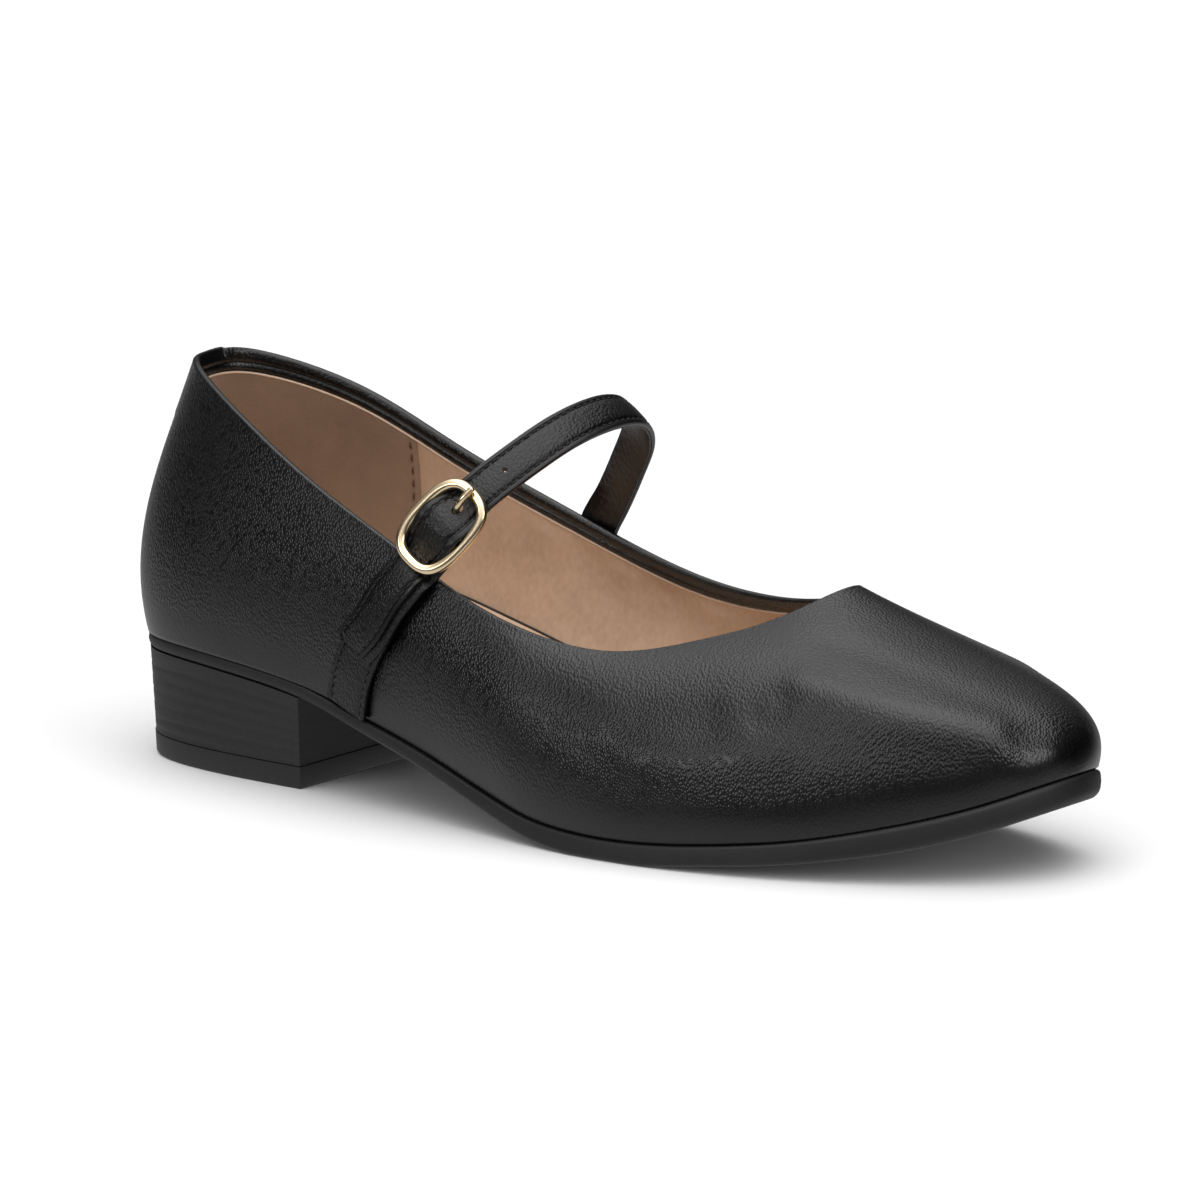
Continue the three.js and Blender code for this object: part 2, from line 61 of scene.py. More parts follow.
# Ribs of the last: feather line x, y; swell out, rise; topline tx, ty, tz; lean, drop under the topline.
RIBS = np.array([
    (2, 0, 5.5, 22, 11.5, 0, 90.2, 7, 21),
    (10, -18.5, 5.5, 22, 19, -12.5, 89.7, 7, 21),
    (34, -28, 5.5, 20, 41, -24.5, 82.3, 5, 18),
    (63, -31.5, 5, 18, 65.5, -31, 71.1, 4, 14),
    (95, -35.5, 5, 16, 91.5, -35.2, 60.2, 4, 12),
    (126.5, -41.5, 5, 15, 112.5, -37.7, 51.3, 5, 10),
    (156.5, -45, 5, 14, 132, -37, 45.5, 8, 8),
    (185, -42, 5, 13, 150.5, -33.5, 43.9, 13, 7),
    (210.5, -34, 4, 13.3, 167, -25.5, 47.2, 20, 8),
    (233, -22, 4.5, 15, 179, -16, 51.3, 31, 11),
    (246, -6.5, 5, 16, 187, -5.5, 56, 37, 16.5),
    (246, 9.5, 5, 16, 187.5, 6.5, 56.4, 37, 17.5),
    (237.5, 22.5, 4, 15.5, 178.5, 17.5, 51.5, 31.5, 13),
    (218, 32, 4, 14.5, 166.5, 25.5, 48, 21, 9),
    (190, 38, 4, 14, 151.5, 31, 45.5, 13, 8),
    (160, 37, 5, 15, 132.5, 33.5, 46, 8, 9),
    (128, 30, 8, 16, 112, 34, 50.7, 6, 10),
    (95, 26, 9, 17, 89.5, 32, 59.3, 5, 12),
    (63, 27, 7, 18, 63, 29, 70.5, 4, 14),
    (34, 27, 5, 20, 37.5, 25, 82.6, 5, 18),
    (10, 18, 5.5, 22, 15.5, 13.5, 89.9, 6, 21),
], float)
ROUND = len(RIBS)


def profile(x, column):
    """Cubic through the profile table, with slopes from each row's neighbours."""
    xs, values = PROFILE["x"], PROFILE[column]
    slopes = (values[2:] - values[:-2]) / (xs[2:] - xs[:-2])
    i = np.clip(np.searchsorted(xs, x) - 1, 1, len(xs) - 3)
    span = xs[i + 1] - xs[i]
    f = (x - xs[i]) / span
    a, b = slopes[i - 1] * span, slopes[i] * span
    rise = values[i + 1] - values[i]
    return values[i] + f * (a + f * (3 * rise - 2 * a - b + f * (a + b - 2 * rise)))


def seat_height(x):
    return profile(x, "seat")


def under_height(x):
    return np.maximum(0, profile(x, "under"))


def closed_controls(rows):
    """Control values of the closed cubic spline through the rows."""
    n = len(rows)
    turn = np.roll(np.eye(n), 1, axis=0)
    return np.linalg.solve((4 * np.eye(n) + turn + turn.T) / 6, rows)


CONTROLS = closed_controls(RIBS)


def rib(s):
    s = np.asarray(s, float) % ROUND
    i = np.floor(s).astype(int)
    f = (s - i)[..., None]
    weights = ((1 - f) ** 3, 3 * f ** 3 - 6 * f ** 2 + 4, -3 * f ** 3 + 3 * f ** 2 + 3 * f + 1, f ** 3)
    return sum(w * CONTROLS[(i + k - 1) % ROUND] for k, w in enumerate(weights)) / 6


def round_angles(count):
    return np.linspace(0, 2 * math.pi, count, endpoint=False)


def unit(v):
    return v / np.linalg.norm(v, axis=-1, keepdims=True)


def outward(s):
    step = 0.01
    d = rib(s + step) - rib(s - step)
    return unit(np.stack([d[..., 1], -d[..., 0], 0 * d[..., 0]], -1))


def feather(s, beyond=0.0):
    r = rib(s)
    p = np.stack([r[..., 0], r[..., 1], 0 * r[..., 0]], -1)
    return p + outward(s) * beyond


def face(s, t):
    """Outer face of the upper: s counts ribs, t runs from the feather line (0) to the topline (1)."""
    s, t = np.broadcast_arrays(np.asarray(s, float), np.asarray(t, float))
    r, n = rib(s), outward(s)
    foot = np.stack([r[..., 0], r[..., 1], seat_height(r[..., 0])], -1)
    top = r[..., 4:7]
    zero = 0 * s
    swell = foot + n * r[..., 2:3] + np.stack([zero, zero, r[..., 3]], -1)
    arrive = top + n * r[..., 7:8] - np.stack([zero, zero, r[..., 8]], -1)
    t = t[..., None]
    u = 1 - t
    return foot * u ** 3 + swell * (3 * t * u * u) + arrive * (3 * t * t * u) + top * t ** 3


def face_normal(s, t):
    step = 0.01
    s, t = np.broadcast_arrays(np.asarray(s, float), np.asarray(t, float))
    along = face(s + step, t) - face(s - step, t)
    up = face(s, t + step) - face(s, t - step)
    return unit(np.cross(along, up))


def on_wall(s, t, distance):
    return face(s, t) + face_normal(s, t) * np.asarray(distance, float)[..., None]


def below_topline(s, depths):
    """t of the places at these depths under the topline, one row for each s."""
    levels = np.linspace(1, 0.4, 121)
    line = face(np.asarray(s)[:, None], levels[None, :])
    run = np.cumsum(np.linalg.norm(np.diff(line, axis=1), axis=2), axis=1)
    run = np.concatenate([np.zeros((len(run), 1)), run], axis=1)
    return np.array([np.interp(depths, row, levels) for row in run])


def soft_step(low, high, value):
    f = np.clip((value - low) / (high - low), 0, 1)
    return f * f * (3 - 2 * f)


# ---------------- meshes


def grid(points, closed_rows=False, closed_columns=False):
    """Quads over an array of points, rows by columns."""
    rows, columns = points.shape[:2]
    index = np.arange(rows * columns).reshape(rows, columns)
    if closed_rows:
        index = np.vstack([index, index[:1]])
    if closed_columns:
        index = np.hstack([index, index[:, :1]])
    quads = np.stack([index[:-1, :-1], index[:-1, 1:], index[1:, 1:], index[1:, :-1]], -1)
    return points.reshape(-1, 3), quads.reshape(-1, 4)


def joined(parts):
    points, quads, start = [], [], 0
    for p, q in parts:
        points.append(p)
        quads.append(q + start)
        start += len(p)
    return np.concatenate(points), np.concatenate(quads)


def linked(name, data):
    obj = bpy.data.objects.new(name, data)
    bpy.context.scene.collection.objects.link(obj)
    return obj


def welded(name, parts, closed=True, smooth=None):
    """A mesh in the frame from grids: doubled points become one, and faces of a closed mesh turn outwards."""
    points, quads = joined(parts)
    mesh = bpy.data.meshes.new(name)
    mesh.from_pydata(((points - ORIGIN) * MM).tolist(), [], quads.tolist())
    if smooth is not None:
        layer = mesh.attributes.new("smooth", "FLOAT", "POINT")
        layer.data.foreach_set("value", np.asarray(smooth, np.float32).ravel())
    work = bmesh.new()
    work.from_mesh(mesh)
    bmesh.ops.remove_doubles(work, verts=work.verts, dist=SAME_PLACE * MM)
    bmesh.ops.dissolve_degenerate(work, edges=work.edges, dist=SAME_PLACE / 2 * MM)
    if closed:
        bmesh.ops.recalc_face_normals(work, faces=work.faces)
    work.to_mesh(mesh)
    work.free()
    return mesh


def piece(name, parts, material, replaces=(), closed=True, sharp=45, smooth=None):
    """A mesh object from grids, riding the shoe's one body; smooth, 0 to 1 at each point, fades the grain."""
    mesh = welded(name, parts, closed, smooth)
    mesh.polygons.foreach_set("use_smooth", [True] * len(mesh.polygons))
    mesh.set_sharp_from_angle(angle=math.radians(sharp))
    mesh.materials.append(material)
    obj = linked(name, mesh)
    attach(obj, "root")
    if replaces:
        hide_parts(*replaces)
    return obj


def ring_cap(ring, across, height):
    """Grid over a closed ring, with cross lines from each point to its partner on the other side."""
    size = len(ring)
    k = np.arange(size // 2 + 1)
    near, far = ring[k], ring[(size - k) % size]
    f = np.linspace(0, 1, across + 1)[None, :, None]
    points = near[:, None] * (1 - f) + far[:, None] * f
    inside = height(points[..., 0], np.sin(math.pi * f[..., 0]))
    points[1:-1, 1:-1, 2] = inside[1:-1, 1:-1]
    return grid(points)


def layered(rings, across, top, bottom):
    rings = np.array(rings)
    return [
        grid(rings, closed_columns=True),
        ring_cap(rings[0], across, top),
        ring_cap(rings[-1], across, bottom),
    ]


# ---------------- materials


class Nodes:
    """Short way to build the node tree of a material or a world."""

    def __init__(self, owner, space="Object"):
        owner.use_nodes = True
        self.owner, self.tree = owner, owner.node_tree
        self.place = self.add("ShaderNodeTexCoord").outputs[space]

    def add(self, kind, inputs=None, **settings):
        node = self.tree.nodes.new(kind)
        for key, value in settings.items():
            setattr(node, key, value)
        for key, value in (inputs or {}).items():
            self.feed(node.inputs[key], value)
        return node

    def feed(self, socket, value):
        if isinstance(value, bpy.types.NodeSocket):
            self.tree.links.new(value, socket)
        else:
            socket.default_value = value

    def mapped(self, scale=(1, 1, 1), turn=(0, 0, 0)):
        return self.add("ShaderNodeMapping", {
            "Vector": self.place, "Scale": scale, "Rotation": [math.radians(a) for a in turn],
        }).outputs["Vector"]

    def noise(self, scale, detail=3.0, roughness=0.5, vector=None):
        node = self.add("ShaderNodeTexNoise", {
            "Vector": vector or self.place, "Scale": scale, "Detail": detail, "Roughness": roughness,
        })
        return node.outputs["Fac"]

    def spread(self, value, low, high, out_low, out_high):
        return self.add("ShaderNodeMapRange", {
            "Value": value, "From Min": low, "From Max": high, "To Min": out_low, "To Max": out_high,
        }).outputs["Result"]

    def maths(self, operation, a, b):
        return self.add("ShaderNodeMath", {0: a, 1: b}, operation=operation).outputs["Value"]

    def ramp(self, value, stops):
        node = self.add("ShaderNodeValToRGB", {"Fac": value})
        elements = node.color_ramp.elements
        while len(elements) < len(stops):
            elements.new(0.5)
        for element, (position, colour) in zip(elements, stops):
            element.position = position
            element.color = (*colour, 1)
        return node.outputs["Color"]

    def mask(self, name):
        return self.add("ShaderNodeAttribute", attribute_name=name).outputs["Fac"]

    def bump(self, height, distance, strength=1.0):
        inputs = {"Height": height, "Distance": distance, "Strength": strength}
        return self.add("ShaderNodeBump", inputs).outputs["Normal"]

    def finish(self, **inputs):
        for key, value in inputs.items():
            self.feed(self.tree.nodes["Principled BSDF"].inputs[key.replace("_", " ")], value)
        return self.owner


def new_nodes(name):
    return Nodes(bpy.data.materials.new(name))


GRAIN_STRETCH, GRAIN_TURN = (1.25, 1.0, 0.8), (0, 38, 0)
GRAIN_LEFT = 0.22        # share of the grain left where a piece is smooth
LEATHER_DARK, LEATHER_LIGHT = (0.00104, 0.00104, 0.001079), (0.0026, 0.0026, 0.002678)


def grain(n, cell):
    """Pebbles of leather: small domes, a little longer one way, with sharp valleys between them."""
    cells = n.add("ShaderNodeTexVoronoi", {
        "Vector": n.mapped(GRAIN_STRETCH, GRAIN_TURN), "Scale": 1 / (cell * MM), "Randomness": 0.85,
    }, feature="F1").outputs["Distance"]
    return n.spread(n.maths("MULTIPLY", cells, cells), 0.0, 0.45, 1, 0)


def leather(name, depth, cell, rough=(0.25, 0.31), gloss=1.52, masked=False):
    """Black leather with pebbles of this depth and size, in mm."""
    n = new_nodes(name)
    pebbles, blotch = grain(n, cell), n.noise(55, 3.0)
    strength = n.spread(n.mask("smooth"), 0, 1, 1.0, GRAIN_LEFT) if masked else 1.0
    tone = n.maths("MULTIPLY", n.spread(pebbles, 0, 1, 0.4, 1.0), n.spread(blotch, 0.3, 0.7, 0.85, 1.1))
    return n.finish(
        Base_Color=n.ramp(tone, [(0.3, LEATHER_DARK), (0.95, LEATHER_LIGHT)]),
        Roughness=n.spread(blotch, 0.3, 0.7, *rough), IOR=gloss,
        Normal=n.bump(pebbles, depth * MM, strength),
    )


def soft_material(
        name, low, high, scale, depth, rough, bump_scale, sheen=0.0, stretch=(1, 1, 1), turn=(0, 0, 0)):
    """Lining, rubber, thread and the like: two close colours in a soft noise, over a fine relief."""
    n = new_nodes(name)
    blotch = n.noise(scale, 4.0, 0.6)
    relief = n.noise(bump_scale, 3.0, 0.6, n.mapped(stretch, turn))
    tone = n.maths("ADD", n.spread(blotch, 0.25, 0.75, 0, 0.7), n.spread(relief, 0.3, 0.7, 0, 0.3))
    return n.finish(
        Base_Color=n.ramp(tone, [(0.1, low), (0.9, high)]), Roughness=n.spread(relief, 0.3, 0.7, *rough),
        IOR=1.47, Sheen_Weight=sheen, Normal=n.bump(relief, depth * MM),
    )


def polished(name):
    n = new_nodes(name)
    marks = n.noise(900, 2.0)
    return n.finish(
        Base_Color=n.ramp(n.noise(120, 2.0), [(0.3, (0.92, 0.72, 0.46)), (0.7, (0.96, 0.78, 0.53))]),
        Metallic=1.0, Roughness=n.spread(marks, 0.3, 0.7, 0.12, 0.18), Normal=n.bump(marks, 0.004 * MM),
    )


def ribbed(name, pitch):
    """Elastic web: fine threads along it, over the ribs of its own shape."""
    n = new_nodes(name)
    threads = n.noise(1 / (pitch * MM), 2.0, 0.7, n.mapped((1, 1, 0.3), (0, 37, 0)))
    return n.finish(
        Base_Color=n.ramp(threads, [(0.3, (0.006, 0.006, 0.007)), (0.75, (0.016, 0.016, 0.017))]),
        Roughness=n.spread(threads, 0.3, 0.7, 0.7, 0.9), Normal=n.bump(threads, 0.08 * MM),
    )


UPPER_LEATHER = leather("upper_leather", 0.085, cell=0.7, masked=True)
STRAP_LEATHER = leather("strap_leather", 0.085, cell=0.75, rough=(0.27, 0.33), gloss=1.42, masked=True)
STRAP_LINING = leather("strap_lining", 0.08, cell=1.4, rough=(0.3, 0.4), gloss=1.45)
FRONT_LINING = soft_material(
    "front_lining", (0.43, 0.28, 0.18), (0.62, 0.43, 0.3), 45, 0.03, (0.5, 0.62), 900,
    stretch=(1, 1, 0.6), turn=(0, 30, 0))
HEEL_LINING = soft_material(
    "heel_lining", (0.19, 0.11, 0.066), (0.3, 0.185, 0.115), 45, 0.06, (0.8, 0.95), 2400, 0.35)
# Colour of the lining's top edge: the light beige of a cut leather edge, made lighter still as a painted
# highlight so that the edge shows where it lies in shade.
CUT_EDGE_AND_HIGHLIGHT = soft_material("cut_edge_and_highlight", (0.6, 0.43, 0.31), (0.68, 0.5, 0.37), 200, 0.02, (0.55, 0.65), 2000)
SOCK = soft_material("sock_leather", (0.55, 0.375, 0.255), (0.62, 0.44, 0.31), 30, 0.03, (0.5, 0.62), 1200)
# Near-black colour of the cord along the sock's edge: painted shade, standing in for the shadow in the gap
# between the sock and the lining.
PAINTED_GAP_SHADE = soft_material(
    "painted_gap_shade", (0.012, 0.009, 0.007), (0.02, 0.015, 0.012), 200, 0.02, (0.7, 0.8), 2000)
SOLE_RUBBER = soft_material(
    "sole_rubber", (0.006, 0.006, 0.0065), (0.01, 0.01, 0.0105), 40, 0.02, (0.5, 0.6), 1500)
HEEL_STACK = soft_material(
    "heel_stack", (0.006, 0.006, 0.0065), (0.012, 0.012, 0.0125), 900, 0.03, (0.48, 0.6), 500,
    stretch=(0.15, 0.15, 3))
BLACK_THREAD = soft_material(
    "black_thread", (0.007, 0.007, 0.008), (0.016, 0.016, 0.017), 900, 0.03, (0.6, 0.75), 3000)
BROWN_THREAD = soft_material(
    "brown_thread", (0.07, 0.03, 0.014), (0.12, 0.055, 0.028), 900, 0.03, (0.6, 0.75), 3000)
ELASTIC = ribbed("elastic_web", 0.25)
GOLD = polished("pale_gold")

# ---------------- upper

# Soft ridges and troughs (negative) on the upper: places on the wall, as s and t, then width and height.
CREASES = [
    ([(9.55, 0.86), (9.85, 0.71), (9.98, 0.55), (10.08, 0.43)], 4.6, -0.5),
    ([(8.9, 0.71), (9.14, 0.61), (9.32, 0.51), (9.59, 0.39), (9.7, 0.32)], 4.6, 0.92),
    ([(8.4, 0.47), (8.77, 0.36), (9.17, 0.25)], 5.5, -0.45),
    ([(9.78, 0.18), (9.84, 0.18)], 4.2, -0.4),
    ([(9.86, 0.31), (10.1, 0.31)], 3.0, -0.35),
    ([(8.1, 0.57), (8.25, 0.56), (8.55, 0.64)], 2.8, -0.32),
    ([(7.8, 0.5), (8.0, 0.66)], 4.0, 0.22),
    ([(6.6, 0.42), (7.4, 0.44), (7.9, 0.43)], 5.0, 0.45),
    ([(7.0, 0.62), (7.6, 0.6)], 4.5, -0.3),
    ([(6.0, 0.55), (6.4, 0.3)], 5.0, -0.3),
    ([(5.2, 0.3), (5.6, 0.75)], 8.0, 0.4),
    ([(11.8, 0.55), (12.6, 0.6), (13.4, 0.6)], 6.0, 0.45),
    ([(12.7, 0.7), (13.2, 0.6)], 3.6, -0.4),
    ([(13.2, 0.3), (14.6, 0.35)], 7.0, -0.4),
    ([(15.2, 0.3), (15.8, 0.8)], 8.0, 0.4),
    ([(2.6, 0.3), (3.2, 0.75)], 10.0, 0.3),
    ([(18.2, 0.3), (18.8, 0.75)], 10.0, 0.3),
]


def near_line(points, start, end):
    """Distance of points from a line between two places, in mm."""
    run = end - start
    f = np.clip(((points - start) @ run) / (run @ run), 0, 1)
    return np.linalg.norm(points - start - f[..., None] * run, axis=-1)


def folds(points, rows, lift=0.0):
    """Height of the ridges and troughs at these points; their lines lie at this distance from the wall."""
    height = np.zeros(points.shape[:-1])
    for path, wide, high in rows:
        places = on_wall(*np.transpose(path), lift)
        away = np.min([near_line(points, start, end) for start, end in zip(places, places[1:])], axis=0)
        height += high * np.exp(-(away / wide) ** 2)
    return height


TAB_EDGE = np.array([(0, 8.2), (3, 7.4), (6, 5.2), (9, 2.6), (11, 1.5), (12.4, 0.2), (13, -1.5)], float)
TAB_THICK = 0.75
BACK_SPACING = 15.0     # mm round the back of the heel for one rib
BACK_HEIGHT = 66.0      # mm down the back for one whole t, near the topline


def back_relief(s, t):
    """The outer quarter's end laps over the back seam; below it the seam is a fine groove."""
    to_inner = -((s + ROUND / 2) % ROUND - ROUND / 2) * BACK_SPACING
    down = (1 - t) * BACK_HEIGHT
    edge = np.interp(down, TAB_EDGE[:, 0], TAB_EDGE[:, 1])
    lap = soft_step(0, 0.7, edge - to_inner) * soft_step(-12, -1, to_inner)
    lap = lap * (1 - soft_step(12.2, 13.0, down))
    seam = np.exp(-(to_inner / 0.45) ** 2) * soft_step(12.6, 13.4, down)
    return TAB_THICK * lap - 0.45 * seam


def around_stations():
    """Rib counts of the upper's columns, closer together round the back tab."""
    fine = np.arange(-0.85, 0.25, 0.014)
    coarse = np.linspace(0.25, ROUND - 0.85, 400, endpoint=False)
    return np.concatenate([fine, coarse])


BAND_PROFILE = np.array([   # depth under the topline, and how far in from the outer face
    (0.5, 2.0), (1.0, 2.1), (1.5, 2.0), (1.85, 1.7), (2.1, 1.5), (2.4, 1.7), (2.9, 1.95), (3.4, 1.95),
    (3.8, 1.75), (4.1, 1.5), (5.4, 1.3),
])
BAND_DEPTH = 4.2
SHELL_IN = 1.3          # how far in the shell's own inner face lies, below that band
BACK_RISE = 0.6         # the rim stands higher round the back
RIM_OUT = 0.12


TUCK = [(0.7, 0.28), (0.15, 0.1)]      # the foot of the upper: in from the feather line, and down
LASTED_SMOOTH = 5.0, 11.0              # heights over the seat between which the pulled leather gets its grain
INSIDE_SMOOTH = 0.55


def build_upper():
    s = around_stations()
    levels = np.concatenate([np.linspace(0, 0.9, 76), np.linspace(0.9, 1, 14)[1:]])
    outer = face(s[None, :], levels[:, None])
    normals = face_normal(s[None, :], levels[:, None])
    edge_fade = soft_step(0, 0.06, levels)[:, None] * (1 - soft_step(0.93, 1.0, levels))[:, None]
    lift = folds(outer, CREASES) * edge_fade + back_relief(s[None, :], levels[:, None])
    outer = outer + normals * lift[..., None]
    tuck = [plan_ring(s, -inward, lambda x, drop=drop: seat_height(x) - drop) for inward, drop in TUCK]

    top_normal = normals[-1]
    up = unit(face(s, 1.0) - face(s, 0.97))
    rim_out = outer[-1] + top_normal * RIM_OUT
    back = np.exp(-(((s + ROUND / 2) % ROUND - ROUND / 2) / 1.2) ** 4)[:, None]
    rim = []
    for k in range(1, 8):
        angle = math.pi * k / 8
        inward = (WALL / 2) * (1 - math.cos(angle))
        rim.append(rim_out - top_normal * inward + up * (RIM_RISE + BACK_RISE * back) * math.sin(angle))
    depths = below_topline(s, BAND_PROFILE[:, 0])
    band = [on_wall(s, depths[:, k], -inward) for k, inward in enumerate(BAND_PROFILE[:, 1])]
    inner = [on_wall(s, depths[:, -1] * f, -SHELL_IN) for f in np.linspace(0.97, 0, 24)]

    rings = np.concatenate([tuck, outer, rim, band, inner])
    heights = rings[..., 2] - seat_height(rings[..., 0])
    smooth = 1 - soft_step(*LASTED_SMOOTH, heights)
    smooth[len(tuck) + len(levels):] = INSIDE_SMOOTH
    return piece(
        "upper_shell", [grid(rings, closed_rows=True, closed_columns=True)], UPPER_LEATHER,
        replaces=("upper",), sharp=60, smooth=smooth,
    )


# ---------------- linings

SEAM_INNER = 18.44
SEAM_OUTER = 2.56
LINING_BACK, LINING_THICK = 1.52, 0.42
LINING_FOLDS = [
    ([(15.2, 0.8), (15.7, 0.15)], 5.0, 0.9),
    ([(15.85, 0.8), (16.1, 0.2)], 3.0, -0.9),
    ([(16.35, 0.8), (16.55, 0.25)], 3.6, 0.9),
    ([(16.75, 0.8), (16.9, 0.3)], 2.6, -0.6),
    ([(14.5, 0.8), (15.0, 0.3)], 3.4, -0.8),
    ([(13.9, 0.8), (14.4, 0.2)], 4.0, 0.8),
    ([(13.3, 0.8), (13.7, 0.3)], 3.0, -0.6),
    ([(17.2, 0.8), (17.5, 0.2)], 5.0, 0.6),
]


def lining_sheet(s, overlap):
    """Sheet against the inside of the wall between two seams, with a cut edge at the top and at the seams."""
    depth = below_topline(s, [BAND_DEPTH, BAND_DEPTH + 0.12])
    to_floor = 0.02
    f = np.concatenate([[0.0, 0.004, 0.012], np.linspace(0.03, 1, 56)])
    t = depth[:, :1] + (to_floor - depth[:, :1]) * f[None, :]
    base = face(s[:, None], t)
    lift = folds(base, LINING_FOLDS, -WALL) * soft_step(0.02, 0.16, f)[None, :]
    ends = soft_step(0, 0.03, s - s[0]) * soft_step(0, 0.03, s[-1] - s)
    thick = (LINING_THICK + overlap) * np.clip(ends, 0.15, 1)[:, None] * np.ones_like(t)
    thick[:, 0] *= 0.6
    surface = on_wall(s[:, None], t, -(LINING_BACK + thick) - lift)
    top = on_wall(s, t[:, 0], -SHELL_IN)
    first, last = [
        np.concatenate([top[k, None], on_wall(s[k], t[k], -SHELL_IN)])[None] for k in (0, -1)]
    sheet = np.concatenate([top[:, None], surface], axis=1)
    return grid(np.concatenate([first, sheet, last]))


def bead(name, line, radius, material):
    """A thin closed cord along a line inside the shoe."""
    piece(name, [wire(line, (radius, radius), np.array([0.02, 0.01, 1.0]), True, 8, 900)], material)


def build_linings():
    front = np.linspace(SEAM_OUTER, SEAM_INNER, 320)
    heel = np.linspace(SEAM_INNER - ROUND, SEAM_OUTER, 150)
    piece("front_lining", [lining_sheet(front, 0.0)], FRONT_LINING, closed=False)
    edge_t = below_topline(front, [BAND_DEPTH + 0.15])[:, 0]
    bead_line = on_wall(front, edge_t, -1.85)
    heel_t = below_topline(heel, [BAND_DEPTH + 0.15])[:, 0]
    heel_line = on_wall(heel, heel_t, -1.9)
    line = np.concatenate([heel_line[:-1], bead_line[:-1]])
    # The lining's top edge cord: cut-edge beige, lightened further as a painted highlight where it sits in
    # shade.
    bead("lining_edge", line, 0.27, CUT_EDGE_AND_HIGHLIGHT)
    piece("heel_grip", [lining_sheet(heel, 0.1)], HEEL_LINING, closed=False)


# ---------------- sole, heel and sock


HEEL_OVERHANG = 1.1      # the upper bulges out over the sole's edge round the heel
TOE_DRAWN_IN = 0.35      # and the sole's ledge is narrower round the toe
SOLE_LIP = 2.4           # the sole's top reaches this far in under the upper


def plan_ring(s, beyond, height):
    p = feather(s, 0.0) + outward(s) * np.reshape(beyond, (-1, 1))
    p[:, 2] = height(p[:, 0])
    return p


def build_sole():
    s = np.linspace(0, ROUND, 420, endpoint=False)
    x = feather(s)[:, 0]
    drawn_in = HEEL_OVERHANG * (1 - soft_step(50, 85, x)) + TOE_DRAWN_IN * soft_step(185, 235, x)
    full = 0.55 + 1.2 * soft_step(185, 240, x)     # the toe's edge is rounder
    top = lambda x: seat_height(x) - GAP + 0.1
    rings = [plan_ring(s, SOLE_LEDGE - SOLE_LIP - drawn_in, top)]
    for k in range(7):
        angle = math.pi / 2 * k / 6
        rings.append(plan_ring(
            s, SOLE_LEDGE - full * (1 - math.sin(angle)) - drawn_in,
            lambda x, a=angle: top(x) - full * (1 - math.cos(a))))
    rings.append(plan_ring(s, SOLE_LEDGE + 0.12 - drawn_in, lambda x: (top(x) + under_height(x)) / 2))
    under = 1.3 + 0.9 * soft_step(185, 240, x)
    for k in range(9):
        angle = math.pi / 2 * k / 8
        rings.append(plan_ring(
            s, SOLE_LEDGE - under * (1 - math.cos(angle)) - drawn_in,
            lambda x, a=angle: under_height(x) + under * (1 - math.sin(a))))
    piece(
        "outsole_visual", layered(rings, 16, lambda x, m: top(x), lambda x, m: under_height(x)),
        SOLE_RUBBER, replaces=("outsole",), sharp=50)


def insole_top(x):
    forward = soft_step(75, 175, x)
    return seat_height(x) + INSOLE_HEEL + (INSOLE_TOE - INSOLE_HEEL) * forward


def insole_edge(s, drop, inset):
    """Edge of the insole against the wall, so far below its top and so far in from the outer face."""
    low, high = np.zeros(len(s)), np.full(len(s), 0.6)
    for _ in range(20):
        middle = (low + high) / 2
        p = on_wall(s, middle, -inset)
        under = p[:, 2] < insole_top(p[:, 0]) - drop
        low, high = np.where(under, middle, low), np.where(under, high, middle)
    return on_wall(s, low, -inset)


SOCK_IN, SOCK_DISH = 0.5, 1.3
SOCK_ROUND = [(0.0, 1.3), (0.12, 0.85), (0.4, 0.42), (0.85, 0.12), (1.4, 0.0), (2.4, 0.0), (3.2, 0.0)]


def build_sock():
    """Padded insole: its sock is soft at the edge and a little dished, with a dark cord of painted shade in
    the gap along its edge.
    """
    s = np.linspace(0, ROUND, 420, endpoint=False)
    base = WALL + GAP + SOCK_IN
    rings = [insole_edge(s, drop, base + inset) for drop, inset in SOCK_ROUND]
    foot = lambda x: seat_height(x) + 0.2
    bottom = plan_ring(s, -(WALL + GAP), foot)
    dish = lambda x, m: insole_top(x) - SOCK_DISH * np.clip(m, 0, 1) ** 0.6 * (1 - soft_step(90, 190, x))
    piece(
        "sock", layered([*rings, bottom], 28, dish, lambda x, m: foot(x)),
        SOCK, replaces=("insole",), sharp=60)
    # The dark cord in the gap between the sock's edge and the lining is painted shade: it stands in for the
    # shadow that falls in that gap.
    line = insole_edge(s, 0.55, base - 0.35)[:-1]
    bead("sock_gap_shade", line, 0.55, PAINTED_GAP_SHADE)


BREAST_TOP, BREAST_FOOT, HEEL_FOOT_BACK = 61, 57.5, 2
HEEL_TAPER, TOP_PIECE_THICK, HEEL_INSET = 0.82, 5.4, 0.6
HEEL_CENTRE = np.array([30.0, 0, 0])
STACK_LINES = 6
STACK_GROOVE = [(0.0, 0.0), (0.025, 0.08), (0.05, 0.0)]      # one line's steps down the heel, and how far in


def heel_plan():
    edge = SOLE_LEDGE - HEEL_INSET - HEEL_OVERHANG + 0.3
    span = np.arange(0, 6, 0.002)
    outer = span[np.argmax(feather(span, edge)[:, 0] >= BREAST_TOP)]
    inner = -span[np.argmax(feather(-span, edge)[:, 0] >= BREAST_TOP)]
    steps = np.linspace(0, 1, 49)
    outer_side, inner_side = feather(outer * steps, edge), feather(inner * steps, edge)
    f = np.linspace(0, 1, 17)[1:-1, None]
    breast = outer_side[-1] * (1 - f) + inner_side[-1] * f
    return np.concatenate([outer_side, breast, inner_side[:0:-1]])


